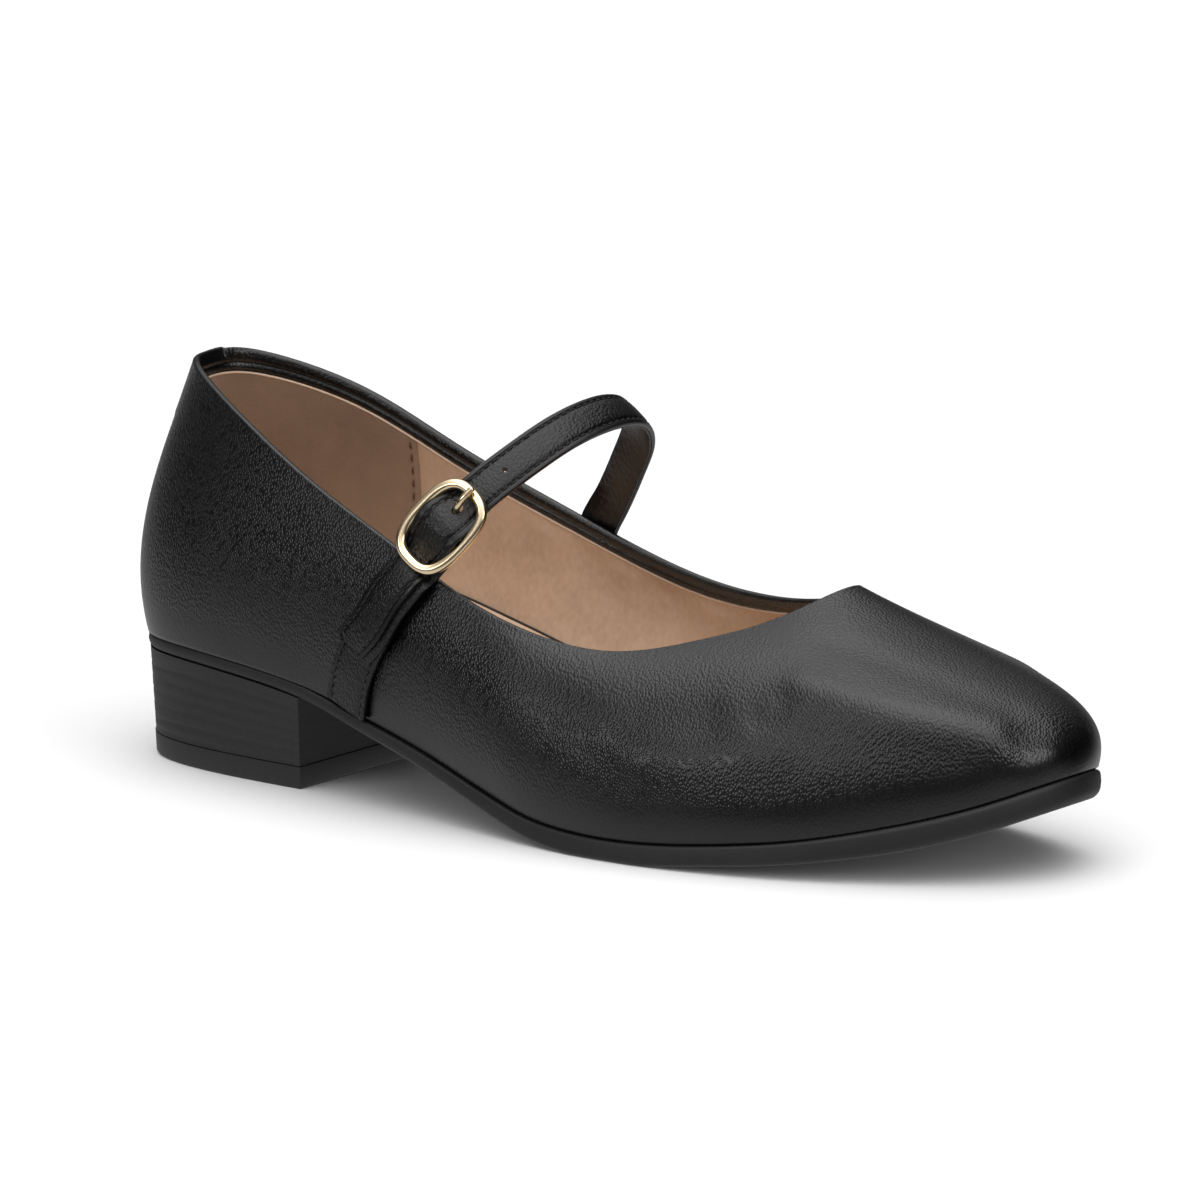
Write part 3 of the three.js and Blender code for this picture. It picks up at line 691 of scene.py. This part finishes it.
def heel_ring(plan, depth, height, inset=0.0, breast=1.0):
    """Outline of the heel at a depth (0 top, 1 floor), drawn in by inset, times breast on the front face."""
    back = feather(0.0)[0]
    ratio = (BREAST_FOOT - HEEL_FOOT_BACK) / (BREAST_TOP - back)
    foot = plan * (0, HEEL_TAPER, 0)
    foot[:, 0] = HEEL_FOOT_BACK + (plan[:, 0] - back) * ratio
    q = plan * (1 - depth) + foot * depth
    q = q - unit(q - HEEL_CENTRE) * inset * np.where(plan[:, :1] < BREAST_TOP - 1, 1.0, breast)
    q[:, 2] = height(q[:, 0])
    return q


def rounded(obj, width):
    bevel = obj.modifiers.new("edge", "BEVEL")
    bevel.width = width * MM
    bevel.segments = 3
    bevel.limit_method = "ANGLE"
    bevel.angle_limit = math.radians(50)
    bevel.harden_normals = True


def build_heel():
    plan = heel_plan()
    top = lambda x: under_height(x) - GAP + 0.15
    foot = TOP_PIECE_THICK + GAP - 0.1
    end_depth = 1 - TOP_PIECE_THICK / under_height(0.0)
    rings = []
    for k in range(STACK_LINES + 1):
        for step, groove in STACK_GROOVE if k else STACK_GROOVE[:1]:
            f = min(1.0, k / (STACK_LINES + 0.45) + step)
            height = lambda x, f=f: top(x) * (1 - f) + foot * f
            rings.append(heel_ring(plan, end_depth * f, height, groove, breast=0.0))
    rings.append(heel_ring(plan, end_depth, lambda x: foot + 0 * x))
    heel = piece(
        "heel_stack", layered(rings, 8, lambda x, m: top(x), lambda x, m: foot + 0 * x),
        HEEL_STACK, replaces=("heel_block",), sharp=50)
    rounded(heel, 0.45)
    top_rings = [
        heel_ring(plan, end_depth, lambda x: TOP_PIECE_THICK + 0 * x, -0.15),
        heel_ring(plan, 0.97, lambda x: 0.8 + 0 * x, -0.15),
        heel_ring(plan, 1.0, lambda x: 0 * x, 0.3),
    ]
    tip = piece(
        "top_lift", layered(top_rings, 8, lambda x, m: TOP_PIECE_THICK + 0 * x, lambda x, m: 0 * x),
        SOLE_RUBBER, replaces=("top_piece",), sharp=50)
    rounded(tip, 0.4)


# ---------------- strap, anchor and elastic

STRAP_ROOT = np.array([98.0, 0, 57])
STRAP_UP = np.array([0.6, 0, 0.8])
STRAP_ACROSS = np.array([0.8, 0, -0.6])
STRAP_WIDE, STRAP_THICK = 9.6, 1.8
STRAP_DOME, STRAP_EDGE, GROOVE_DEPTH = 0.3, 0.6, 0.288
LAYER_THICK = 0.55       # the thin leather on the strap's underside
EDGE_ROW = 1.35          # stitch rows, in from a strip's edges
STITCH_PITCH, STITCH_LONG, STITCH_RADIUS = 2.3, 1.75, 0.2
ANCHOR_WIDE, ANCHOR_THICK = 11.6, 1.4
ELASTIC_WIDE, ELASTIC_THICK = 8.4, 0.9
RIB_PITCH, RIB_HEIGHT = 0.95, 0.1
BUCKLE_Y, BUCKLE_RISE, BUCKLE_TILT = -37.5, 13.1, math.radians(23)
RING_LONG, RING_SHORT, RING_WIRE = 22.6, 16, 1.2
BAR_WIRE, BAR_DEPTH, PRONG_WIRE, EYE_WIRE = 0.9, 2.2, 0.85, 0.4
PRONG_PATH = [(1.4, -2.6), (2.9, -1.9), (4.4, -0.4), (6, 1.3), (8.4, 2.3), (11, 2.25)]     # along and out
OVER_ELASTIC = GAP + ELASTIC_THICK + GAP
OVER_ANCHOR = OVER_ELASTIC + ANCHOR_THICK + GAP


def on_arch(y, rise):
    return STRAP_ROOT + STRAP_UP * rise + np.array([0, y, 0])


def at_buckle(along, across, out):
    sin, cos = math.sin(BUCKLE_TILT), math.cos(BUCKLE_TILT)
    y, rise = BUCKLE_Y + along * sin - out * cos, BUCKLE_RISE + along * cos + out * sin
    return on_arch(y, rise) + STRAP_ACROSS * across


BUCKLE_OUT = at_buckle(0, 0, 1) - at_buckle(0, 0, 0)
BUCKLE_ALONG = at_buckle(1, 0, 0) - at_buckle(0, 0, 0)


def catmull(places, u, closed=False):
    """Centripetal curve through places, at u from 0 to 1, with even steps of u between places."""
    p = np.asarray(places, float)
    n = len(p)
    spans = n if closed else n - 1
    spot = np.asarray(u, float) * spans
    i = np.floor(spot).astype(int)
    if closed:
        around = [p[(i + k) % n] for k in (-1, 0, 1, 2)]
    else:
        i = np.clip(i, 0, n - 2)
        padded = np.concatenate([[2 * p[0] - p[1]], p, [2 * p[-1] - p[-2]]])
        around = [padded[i + k] for k in range(4)]
    gaps = [np.sqrt(np.linalg.norm(b - a, axis=-1)) for a, b in zip(around, around[1:])]
    d0, d1, d2 = [g[..., None] for g in gaps]
    x0, x1, x2, x3 = around
    t1 = ((x1 - x0) / d0 - (x2 - x0) / (d0 + d1) + (x2 - x1) / d1) * d1
    t2 = ((x2 - x1) / d1 - (x3 - x1) / (d1 + d2) + (x3 - x2) / d2) * d1
    w = (spot - i)[..., None]
    return x1 + w * (t1 + w * (3 * (x2 - x1) - 2 * t1 - t2 + w * (2 * (x1 - x2) + t1 + t2)))


def catmull_tangent(places, u, closed=False):
    step = 1e-4
    u = np.asarray(u, float)
    if closed:
        ahead, behind = (u + step) % 1, (u - step) % 1
    else:
        ahead, behind = np.minimum(u + step, 1), np.maximum(u - step, 0)
    return unit(catmull(places, ahead, closed) - catmull(places, behind, closed))


def wall_stop(s, t, distance):
    return on_wall(s, t, distance), face_normal(s, t)


def band_frame(stops, steps):
    """Centres, side directions and outward directions along a band."""
    places = np.array([place for place, _ in stops])
    spots = np.arange(len(stops)) / (len(stops) - 1)
    tangents = catmull_tangent(places, spots)
    sides = np.array([
        STRAP_ACROSS if normal is None else unit(np.cross(tangent, normal))
        for (_, normal), tangent in zip(stops, tangents)
    ])
    u = np.linspace(0, 1, steps + 1)
    spot = np.minimum(u * (len(stops) - 1), len(stops) - 1.0001)
    i = np.floor(spot).astype(int)
    f = (spot - i)[:, None]
    centre, tangent = catmull(places, u), catmull_tangent(places, u)
    side = sides[i] * (1 - f) + sides[i + 1] * f
    side = unit(side - tangent * np.sum(side * tangent, axis=1, keepdims=True))
    return centre, side, np.cross(side, tangent)


def run_length(points):
    return np.concatenate([[0], np.cumsum(np.linalg.norm(np.diff(points, axis=0), axis=1))])


def even(band, spacing):
    """The same band with its stations evenly spaced."""
    run = run_length(band[0])
    at = np.linspace(0, run[-1], int(run[-1] / spacing) + 1)
    out = [np.stack([np.interp(at, run, part[:, k]) for k in range(3)], -1) for part in band]
    return out[0], unit(out[1]), unit(out[2])


def band_mesh(band, section, end_round=0.5, scale=None):
    """Sweeps a section, a closed list of (across, up), along a band and closes both ends with a soft edge."""
    centre, side, out = band
    section = np.asarray(section, float)
    scales = np.ones(len(centre)) if scale is None else scale

    def ring_at(k, outline):
        return centre[k] + side[k] * (outline[:, :1] * scales[k]) + out[k] * outline[:, 1:]

    rings = [ring_at(k, section) for k in range(len(centre))]
    middle = np.array([0.0, section[:, 1].mean()])
    reach = section - middle
    ends = []
    for station, along in ((0, unit(centre[1] - centre[0])), (-1, unit(centre[-2] - centre[-1]))):
        caps = []
        for shrink, push in ((0.55, 0.0), (0.2, 0.2), (0.0, 0.5)):
            shares = 1 - end_round * (1 - shrink) / np.abs(reach[:, 0]).max(), 0.45 + 0.55 * shrink
            caps.append(ring_at(station, middle + reach * shares) - along * end_round * push)
        caps.append(caps[-1].mean(axis=0) + 0 * caps[-1])
        ends.append(caps)
    everything = np.concatenate([ends[0][::-1], rings, ends[1]])
    return grid(everything, closed_columns=True)


def mirrored(right):
    return [(-a, b) for a, b in right[::-1]]


def padded_section(wide, low, high):
    """Section of a turned-edge strap: rounded edges, a stitch groove near each, and a padded middle."""
    half, groove = wide / 2, wide / 2 - EDGE_ROW
    bend = min(STRAP_EDGE, (high - low) / 2)
    right = [
        (half - STRAP_EDGE, low), (half - STRAP_EDGE * 0.3, low + bend * 0.15), (half, low + bend * 0.8),
        (half, high - bend * 0.8), (half - STRAP_EDGE * 0.3, high - bend * 0.15),
        (half - STRAP_EDGE, high + 0.03), (groove + 0.38, high), (groove + 0.15, high - GROOVE_DEPTH),
        (groove - 0.15, high - GROOVE_DEPTH), (groove - 0.45, high + STRAP_DOME * 0.3),
        (half * 0.5, high + STRAP_DOME * 0.75), (half * 0.22, high + STRAP_DOME * 0.96),
    ]
    bottom = [(a, low) for a in np.linspace(-half * 0.7, half * 0.7, 7)]
    return right + [(0, high + STRAP_DOME)] + mirrored(right) + bottom


def flat_section(wide, low, high, edge=0.2):
    half = wide / 2
    right = [(half - edge, low), (half, low + edge * 0.7), (half, high - edge * 0.7), (half - edge, high)]
    return right + [(0, high)] + mirrored(right) + [(0, low)]


def band_row(band, across, up):
    centre, side, out = band
    return centre + side * across + out * up, out


def stitch_meshes(
        path, normals, start, stop, pitch=STITCH_PITCH, length=STITCH_LONG, radius=STITCH_RADIUS, sink=0.35):
    """Short rounded stitches along a path, each dipping into the leather at both ends."""
    run = run_length(path)
    fractions = np.array([0.0, 0.08, 0.3, 0.5, 0.7, 0.92, 1.0])
    swell = np.array([0.12, 0.62, 1.0, 1.05, 1.0, 0.62, 0.12])
    angles = round_angles(7)
    made, at = [], start
    sample = lambda values, d: np.stack([np.interp(d, run, values[:, k]) for k in range(3)], -1)
    while at + length <= stop:
        d = at + fractions * length
        centre, up = sample(path, d), unit(sample(normals, d))
        along = unit(sample(path, d + 0.05) - sample(path, d - 0.05))
        across = unit(np.cross(along, up))
        lift = (np.sin(math.pi * fractions) - sink) * radius
        middle = centre + up * lift[:, None]
        ring = middle[:, None] + radius * swell[:, None, None] * (
            across[:, None] * np.cos(angles)[None, :, None] + up[:, None] * np.sin(angles)[None, :, None])
        made.append(grid(ring, closed_columns=True))
        at += pitch
    return made


def strap_stops():
    free = [
        (3.68, 0.41, GAP + ANCHOR_THICK + GAP + 0.3), (3.88, 0.56, OVER_ANCHOR - 0.4),
        (4.1, 0.77, OVER_ANCHOR), (4.29, 0.94, OVER_ANCHOR + 0.2),
    ]
    through_ring = [(-10.8, -2.5), (-7.6, -2.3), (-4, -0.5), (0, 1), (4, -0.5), (7.6, -2.3), (10.8, -2.6)]
    arch = [(-22, 29.8), (-11, 36.6), (0, 39.3), (9, 38.9), (17, 36), (25, 28.4), (29.8, 17.6), (33.4, 7)]
    foot = [(16.66, 0.98), (16.8, 0.78), (17.05, 0.55), (17.3, 0.3), (17.5, 0.03)]
    middle = STRAP_THICK / 2
    return [
        *[wall_stop(s, t, over + middle) for s, t, over in free],
        *[(at_buckle(along, 0, out), None) for along, out in through_ring],
        *[(on_arch(y, rise), None) for y, rise in arch],
        *[wall_stop(s, t, GAP + middle) for s, t in foot],
    ]


def anchor_stops():
    rows = [
        (3.46, 0.03, GAP), (3.56, 0.2, GAP), (3.7, 0.38, GAP), (3.86, 0.54, GAP + 0.5),
        (4.08, 0.75, OVER_ELASTIC), (4.27, 0.93, OVER_ELASTIC),
    ]
    return [wall_stop(s, t, over + ANCHOR_THICK / 2) for s, t, over in rows]


def elastic_stops():
    turn = BAR_WIRE + 0.15 + ELASTIC_THICK / 2
    angles = [math.radians(a) for a in (-80, -35, 10, 55, 100, 145)]
    return [
        *[wall_stop(s, t, GAP + ELASTIC_THICK / 2) for s, t in ((4.05, 0.72), (4.17, 0.84), (4.3, 0.96))],
        *[(at_buckle(along, 0, out), None) for along, out in ((-10.8, -4.6), (-6.5, -4.2), (-2.6, -3.9))],
        *[(at_buckle(turn * math.cos(a), 0, turn * math.sin(a) - BAR_DEPTH), None) for a in angles],
        *[(at_buckle(along, 0, out), None) for along, out in ((-2.6, -2.3), (-4.6, -2.8))],
    ]


def peg(centre, direction, radius, reach):
    """A short round rod, to cut a hole with."""
    direction = unit(np.asarray(direction, float))
    first = unit(np.cross(direction, [0.3, 0.9, 0.2]))
    second = np.cross(direction, first)
    angles = round_angles(28)
    loop = first * np.cos(angles)[:, None] * radius + second * np.sin(angles)[:, None] * radius
    low, high = centre - direction * reach, centre + direction * reach
    return grid(np.array([low + 0 * loop, low + loop, high + loop, high + 0 * loop]), closed_columns=True)


def cut(obj, parts):
    """Cuts closed parts out of a piece, for good."""
    cutter = linked("cutter", welded("cutter", parts))
    modifier = obj.modifiers.new("holes", "BOOLEAN")
    modifier.operation, modifier.solver, modifier.object = "DIFFERENCE", "EXACT", cutter
    bpy.context.view_layer.update()
    evaluated = obj.evaluated_get(bpy.context.evaluated_depsgraph_get())
    result = bpy.data.meshes.new_from_object(evaluated)
    obj.modifiers.clear()
    obj.data = result
    bpy.data.objects.remove(cutter)
    result.set_sharp_from_angle(angle=math.radians(40))


OVAL_FULLNESS = 0.72     # 1 would be an ellipse
STRAP_HOLE, HOLE_RADIUS = np.array([113.9, -24.8, 78.2]), 0.62
PRONG_HOLE_ALONG, PRONG_HOLE_RADIUS = 5.3, 1.0
END_SKEW = 0.24
INNER_ROW = 16.72, 0.87, 1.2      # where a row crosses the strap above the inner topline: s, t, off the wall


def ring_swell(run, middle, reach, most):
    """Widening of the strap where it is pushed up through the ring."""
    return 1 + most * np.exp(-((run - middle) / reach) ** 4)


def skewed(stations):
    """The same band with its first end cut askew."""
    centre, side, out = stations
    share = END_SKEW * (1 - soft_step(0, 9, run_length(centre)))[:, None]
    return centre, unit(side + unit(np.gradient(centre, axis=0)) * share), out


def build_strap():
    stations = skewed(even(band_frame(strap_stops(), 900), 0.4))
    centre, side, out = stations
    run = run_length(centre)
    in_ring = run[np.argmin(np.linalg.norm(centre - at_buckle(0, 0, 1), axis=1))]
    swell = ring_swell(run, in_ring - 0.4, 7.2, 0.2)
    low, high = -STRAP_THICK / 2, STRAP_THICK / 2
    section = np.array(padded_section(STRAP_WIDE, low + LAYER_THICK, high))
    edges = np.abs(section[:, 0]) > STRAP_WIDE / 2 - EDGE_ROW
    band = band_mesh(stations, section, scale=swell)
    strap = piece(
        "strap_leather", [band], STRAP_LEATHER, replaces=("strap",), sharp=60,
        smooth=np.tile(edges, len(band[0]) // len(section)))
    layer = flat_section(STRAP_WIDE - 0.5, low, low + LAYER_THICK + 0.05)
    layer = band_mesh(stations, layer, 0.2, scale=swell)
    under = piece("strap_lining", [layer], STRAP_LINING, sharp=60)
    hole = np.argmin(np.linalg.norm(centre - STRAP_HOLE, axis=1))
    prong_hole, prong_way = at_buckle(PRONG_HOLE_ALONG, 0, 0), BUCKLE_OUT - BUCKLE_ALONG * 0.4
    for leather_layer in (strap, under):
        cut(leather_layer, [
            peg(centre[hole], out[hole], HOLE_RADIUS, 3),
            peg(prong_hole, prong_way, PRONG_HOLE_RADIUS, 3.5),
        ])

    level = high - 0.16
    rows = []
    edge = (STRAP_WIDE / 2) * swell - EDGE_ROW
    for sign in (1, -1):
        path = centre + side * (sign * edge)[:, None] + out * level
        rows += stitch_meshes(path, out, 1.5, run[-1] - 1)
    half = STRAP_WIDE / 2 - EDGE_ROW
    f = np.linspace(-half, half, 30)
    inner_cross = run[np.argmin(np.linalg.norm(centre - on_wall(*INNER_ROW), axis=1))]
    for crossing in (EDGE_ROW, inner_cross):
        k = int(np.argmin(np.abs(run - crossing)))
        path = centre[k] + side[k] * f[:, None] + out[k] * (level + 0.14)
        rows += stitch_meshes(path, out[k] + 0 * path, 0.1, 2 * half)
    piece("strap_stitches", rows, BLACK_THREAD)


LAYER_SHIFT = 1.5        # the under layer shows beyond the strap on the toe side


def build_under_layer():
    """The strip that holds the elastic, sewn under the strap's free end."""
    wall = [(3.66, 0.385), (3.87, 0.55), (4.09, 0.76), (4.28, 0.93)]
    stops = [wall_stop(s, t, OVER_ANCHOR - 0.1) for s, t in wall]
    stops += [(at_buckle(along, 0, out), None) for along, out in ((-10.6, -4.1), (-7.4, -3.9), (-5.0, -3.7))]
    centre, side, out = skewed(even(band_frame(stops, 300), 0.4))
    stations = centre + side * LAYER_SHIFT, side, out
    section = flat_section(STRAP_WIDE, -0.45, 0.35, 0.25)
    piece("under_strip", [band_mesh(stations, section, 0.25)], STRAP_LEATHER, sharp=60)
    path, normals = band_row(stations, STRAP_WIDE / 2 - 0.55, 0.28)
    rows = stitch_meshes(path, normals, 0.6, run_length(path)[-1] - 0.6, radius=0.16)
    piece("under_stitches", rows, BLACK_THREAD)


def build_anchor():
    band = even(band_frame(anchor_stops(), 300), 0.4)
    run = run_length(band[0])
    half, top = ANCHOR_WIDE / 2, ANCHOR_THICK / 2
    right = [
        (half - 0.4, -top), (half, -top + 0.3), (half, top - 0.4), (half - 0.15, top - 0.12),
        (half - 0.45, top), (half - 1.0, top), (half - 1.25, top - 0.13), (half - 1.5, top - 0.13),
        (half - 1.75, top), (half * 0.4, top + 0.05),
    ]
    piece(
        "anchor_strip", [band_mesh(band, right + mirrored(right))], STRAP_LEATHER,
        replaces=("strap_anchor",), sharp=60)
    rows = []
    for across in (half - EDGE_ROW, EDGE_ROW - half):
        path, normals = band_row(band, across, top - 0.1)
        rows += stitch_meshes(path, normals, 0.5, run[-1] - 0.5)
    piece("anchor_stitches", rows, BLACK_THREAD)


def build_elastic():
    centre, side, out = even(band_frame(elastic_stops(), 500), 0.14)
    run = run_length(centre)
    wave = np.cos(run / RIB_PITCH * 2 * math.pi)[:, None, None]
    half, top = ELASTIC_WIDE / 2, ELASTIC_THICK / 2
    right = [
        (half - 0.15, -top), (half, -top + 0.2), (half, top - 0.2), (half - 0.15, top), (half * 0.5, top),
    ]
    bottom = [(-half * 0.5, -top), (0, -top), (half * 0.5, -top)]
    section = np.array(right + [(0, top)] + mirrored(right) + bottom)
    up = section[None, :, 1:] + np.sign(section[None, :, 1:]) * (RIB_HEIGHT * wave)
    wide = section[None, :, :1] * (1 - 0.02 * wave)
    rings = centre[:, None] + side[:, None] * wide + out[:, None] * up
    closing = [rings[:1].mean(axis=1, keepdims=True) + 0 * rings[:1], rings,
               rings[-1:].mean(axis=1, keepdims=True) + 0 * rings[-1:]]
    web = piece(
        "elastic_web", [grid(np.concatenate(closing), closed_columns=True)], ELASTIC,
        replaces=("elastic_tab",), sharp=70)
    cut(web, [peg(at_buckle(1.6, 0, -BAR_DEPTH), BUCKLE_ALONG, 1.1, 3.4)])


# ---------------- buckle


def wire(places, radii, reference, closed, sides, steps):
    stations = np.arange(steps if closed else steps + 1) / steps
    centre = catmull(places, stations, closed)
    tangent = catmull_tangent(places, stations, closed)
    second = unit(np.cross(tangent, reference))
    first = np.cross(second, tangent)
    radius = (radii[0] + (radii[1] - radii[0]) * stations)[:, None, None]
    angles = round_angles(sides)
    around = first[:, None] * np.cos(angles)[None, :, None] + second[:, None] * np.sin(angles)[None, :, None]
    rings = centre[:, None] + around * radius
    if closed:
        return grid(rings, closed_rows=True, closed_columns=True)
    start, end = [], []
    for station, sign, store in ((0, -1, start), (-1, 1, end)):
        for angle in (30, 60, 85):
            a = math.radians(angle)
            store.append(centre[station] + (rings[station] - centre[station]) * math.cos(a)
                         + tangent[station] * sign * math.sin(a) * radius[station].item() * 0.7)
        store.append(store[-1].mean(axis=0) + 0 * store[-1])
    return grid(np.concatenate([start[::-1], rings, end]), closed_columns=True)


def build_buckle():
    end_radius = RING_SHORT / 2 - RING_WIRE
    turn = round_angles(48) + 0.03
    oval = [np.sign(w) * np.abs(w) ** OVAL_FULLNESS for w in (np.sin(turn), np.sin(turn + math.pi / 2))]
    places = [
        at_buckle((RING_LONG / 2 - RING_WIRE) * along, end_radius * across, 0) for along, across in zip(*oval)
    ]
    ring = wire(places, (RING_WIRE, RING_WIRE), BUCKLE_OUT, True, 32, 260)
    half_bar = [(1, 0), (0.95, 0.5), (0.82, 0.9), (0.6, 1), (0.3, 1)]
    bar_places = [at_buckle(0, -across * end_radius, -depth * BAR_DEPTH) for across, depth in half_bar] \
        + [at_buckle(0, across * end_radius, -depth * BAR_DEPTH) for across, depth in half_bar[::-1]]
    bar = wire(bar_places, (BAR_WIRE, BAR_WIRE), BUCKLE_ALONG, False, 20, 60)
    piece("buckle_ring", [ring, bar], GOLD, replaces=("buckle_frame",), sharp=80)

    path = [at_buckle(along, 0, out) for along, out in PRONG_PATH]
    shank = wire(path, (PRONG_WIRE, PRONG_WIRE * 0.85), STRAP_ACROSS, False, 20, 80)
    eye_radius = BAR_WIRE + 0.2 + EYE_WIRE
    eye_places = [
        at_buckle(eye_radius * math.cos(a), 0, eye_radius * math.sin(a) - BAR_DEPTH)
        for a in round_angles(12)
    ]
    eye = wire(eye_places, (EYE_WIRE, EYE_WIRE), STRAP_ACROSS, True, 12, 60)
    piece("buckle_pin", [shank, eye], GOLD, replaces=("buckle_prong",), sharp=80)


def build_lining_stitches():
    rows = []
    for seam, sign in ((SEAM_INNER, 1), (SEAM_OUTER, -1)):
        t = np.linspace(0.9, 0.12, 120)
        s = seam + sign * 0.06 + 0 * t
        path = on_wall(s, t, -2.1)
        rows += stitch_meshes(path, -face_normal(s, t), 0.6, run_length(path)[-1] - 1, 3.1, 2.0, 0.24, 0.1)
    piece("lining_stitches", rows, BROWN_THREAD)


build_upper()
build_linings()
build_lining_stitches()
build_sole()
build_sock()
build_heel()
build_strap()
build_under_layer()
build_anchor()
build_elastic()
build_buckle()

# ---------------- floor, light and camera


def floor_material():
    n = new_nodes("pale_floor")
    return n.finish(
        Base_Color=n.ramp(n.noise(3.0, 2.0), [(0.3, (0.83, 0.83, 0.83)), (0.7, (0.85, 0.85, 0.85))]),
        Roughness=0.9,
    )


def build_floor():
    reach = 12.0
    mesh = bpy.data.meshes.new("floor")
    corners = [(-reach, -reach, 0), (reach, -reach, 0), (reach, reach, 0), (-reach, reach, 0)]
    mesh.from_pydata(corners, [], [(0, 1, 2, 3)])
    mesh.materials.append(floor_material())
    floor = linked("floor", mesh)
    floor.visible_glossy = False


# How bright the studio is, by the cosine of the angle from a direction. The big soft light is overhead, a
# little to the outer side. Two panels dim it: one low, beyond the inner side of the toe, and one higher,
# beyond the outer side of the heel.
LIGHT_FROM = (0.102, -0.149, 0.984)
LIGHT_SPREAD = [
    (-1.0, 1.1), (-0.5, 1.1), (-0.25, 0.7), (-0.08, 0.12), (0.0, 0.06), (0.17, 0.2), (0.34, 0.75), (0.5, 1.3),
    (0.64, 2.0), (0.77, 3.0), (0.87, 4.1), (0.95, 5.0),
]
LIGHT_MOST = 5.0
LIGHT_LEVEL = 0.58
PANELS = [
    ((0.562, 0.785, 0.259), [(0.6, 1.0), (0.82, 0.1)]),
    ((-0.714, -0.489, 0.5), [(0.72, 1.0), (0.97, 0.3)]),
]


def by_angle(n, direction, spread, most=1.0):
    """Brightness, as a share of the most, by the cosine of the angle from a direction."""
    cosine = n.add("ShaderNodeVectorMath", {0: n.place, 1: direction}, operation="DOT_PRODUCT")
    stops = [((angle + 1) / 2, (light / most,) * 3) for angle, light in spread]
    return n.ramp(n.spread(cosine.outputs["Value"], -1, 1, 0, 1), stops)


def build_world():
    world = bpy.data.worlds.new("studio")
    bpy.context.scene.world = world
    n = Nodes(world, "Generated")
    light = by_angle(n, LIGHT_FROM, LIGHT_SPREAD, LIGHT_MOST)
    for direction, spread in PANELS:
        shade = by_angle(n, direction, spread)
        light = n.add("ShaderNodeVectorMath", {0: light, 1: shade}, operation="MULTIPLY").outputs["Vector"]
    background = n.tree.nodes["Background"]
    n.feed(background.inputs["Color"], light)
    n.feed(background.inputs["Strength"], LIGHT_MOST * LIGHT_LEVEL)


def aimed(obj, place, aim):
    obj.location = place
    obj.rotation_mode = "QUATERNION"
    obj.rotation_quaternion = (aim - place).to_track_quat("-Z", "Y")


def softbox(name, place, aim, size, watts):
    light = bpy.data.lights.new(name, "AREA")
    light.shape, light.size, light.size_y, light.energy = "RECTANGLE", size[0], size[1], watts
    aimed(linked(name, light), Vector(place), Vector(aim))


def build_lights():
    softbox("toe_box", (1.42, -0.27, 0.42), (0.08, 0, 0.03), (0.5, 0.5), 3.2)
    softbox("side_box", (-0.46, -1.43, 0.33), (0, 0, 0.03), (0.9, 0.45), 4.0)


CAMERA_AZIMUTH, CAMERA_ELEVATION, CAMERA_DISTANCE, CAMERA_LENS = 34.4, 11.2, 2.2, 300.0
PAIR_MIDDLE = Vector((0.0335, 0.0029, 0.05745))     # the camera stands where it stood for the pair of shoes
SHOE_MIDDLE = Vector((0.0, 0.0, 0.0475))            # and looks at the one shoe


def build_camera():
    azimuth, elevation = math.radians(CAMERA_AZIMUTH), math.radians(CAMERA_ELEVATION)
    level = math.cos(elevation)
    back = Vector((math.sin(azimuth) * level, -math.cos(azimuth) * level, math.sin(elevation)))
    data = bpy.data.cameras.new("camera")
    data.lens, data.sensor_width = CAMERA_LENS, 36
    data.clip_start, data.clip_end = 0.1, 100
    camera = linked("camera", data)
    aimed(camera, PAIR_MIDDLE + back * CAMERA_DISTANCE, SHOE_MIDDLE)
    bpy.context.scene.camera = camera


build_floor()
build_world()
build_lights()
build_camera()
bpy.context.scene.view_settings.view_transform = "Standard"
bpy.context.scene.view_settings.look = "None"
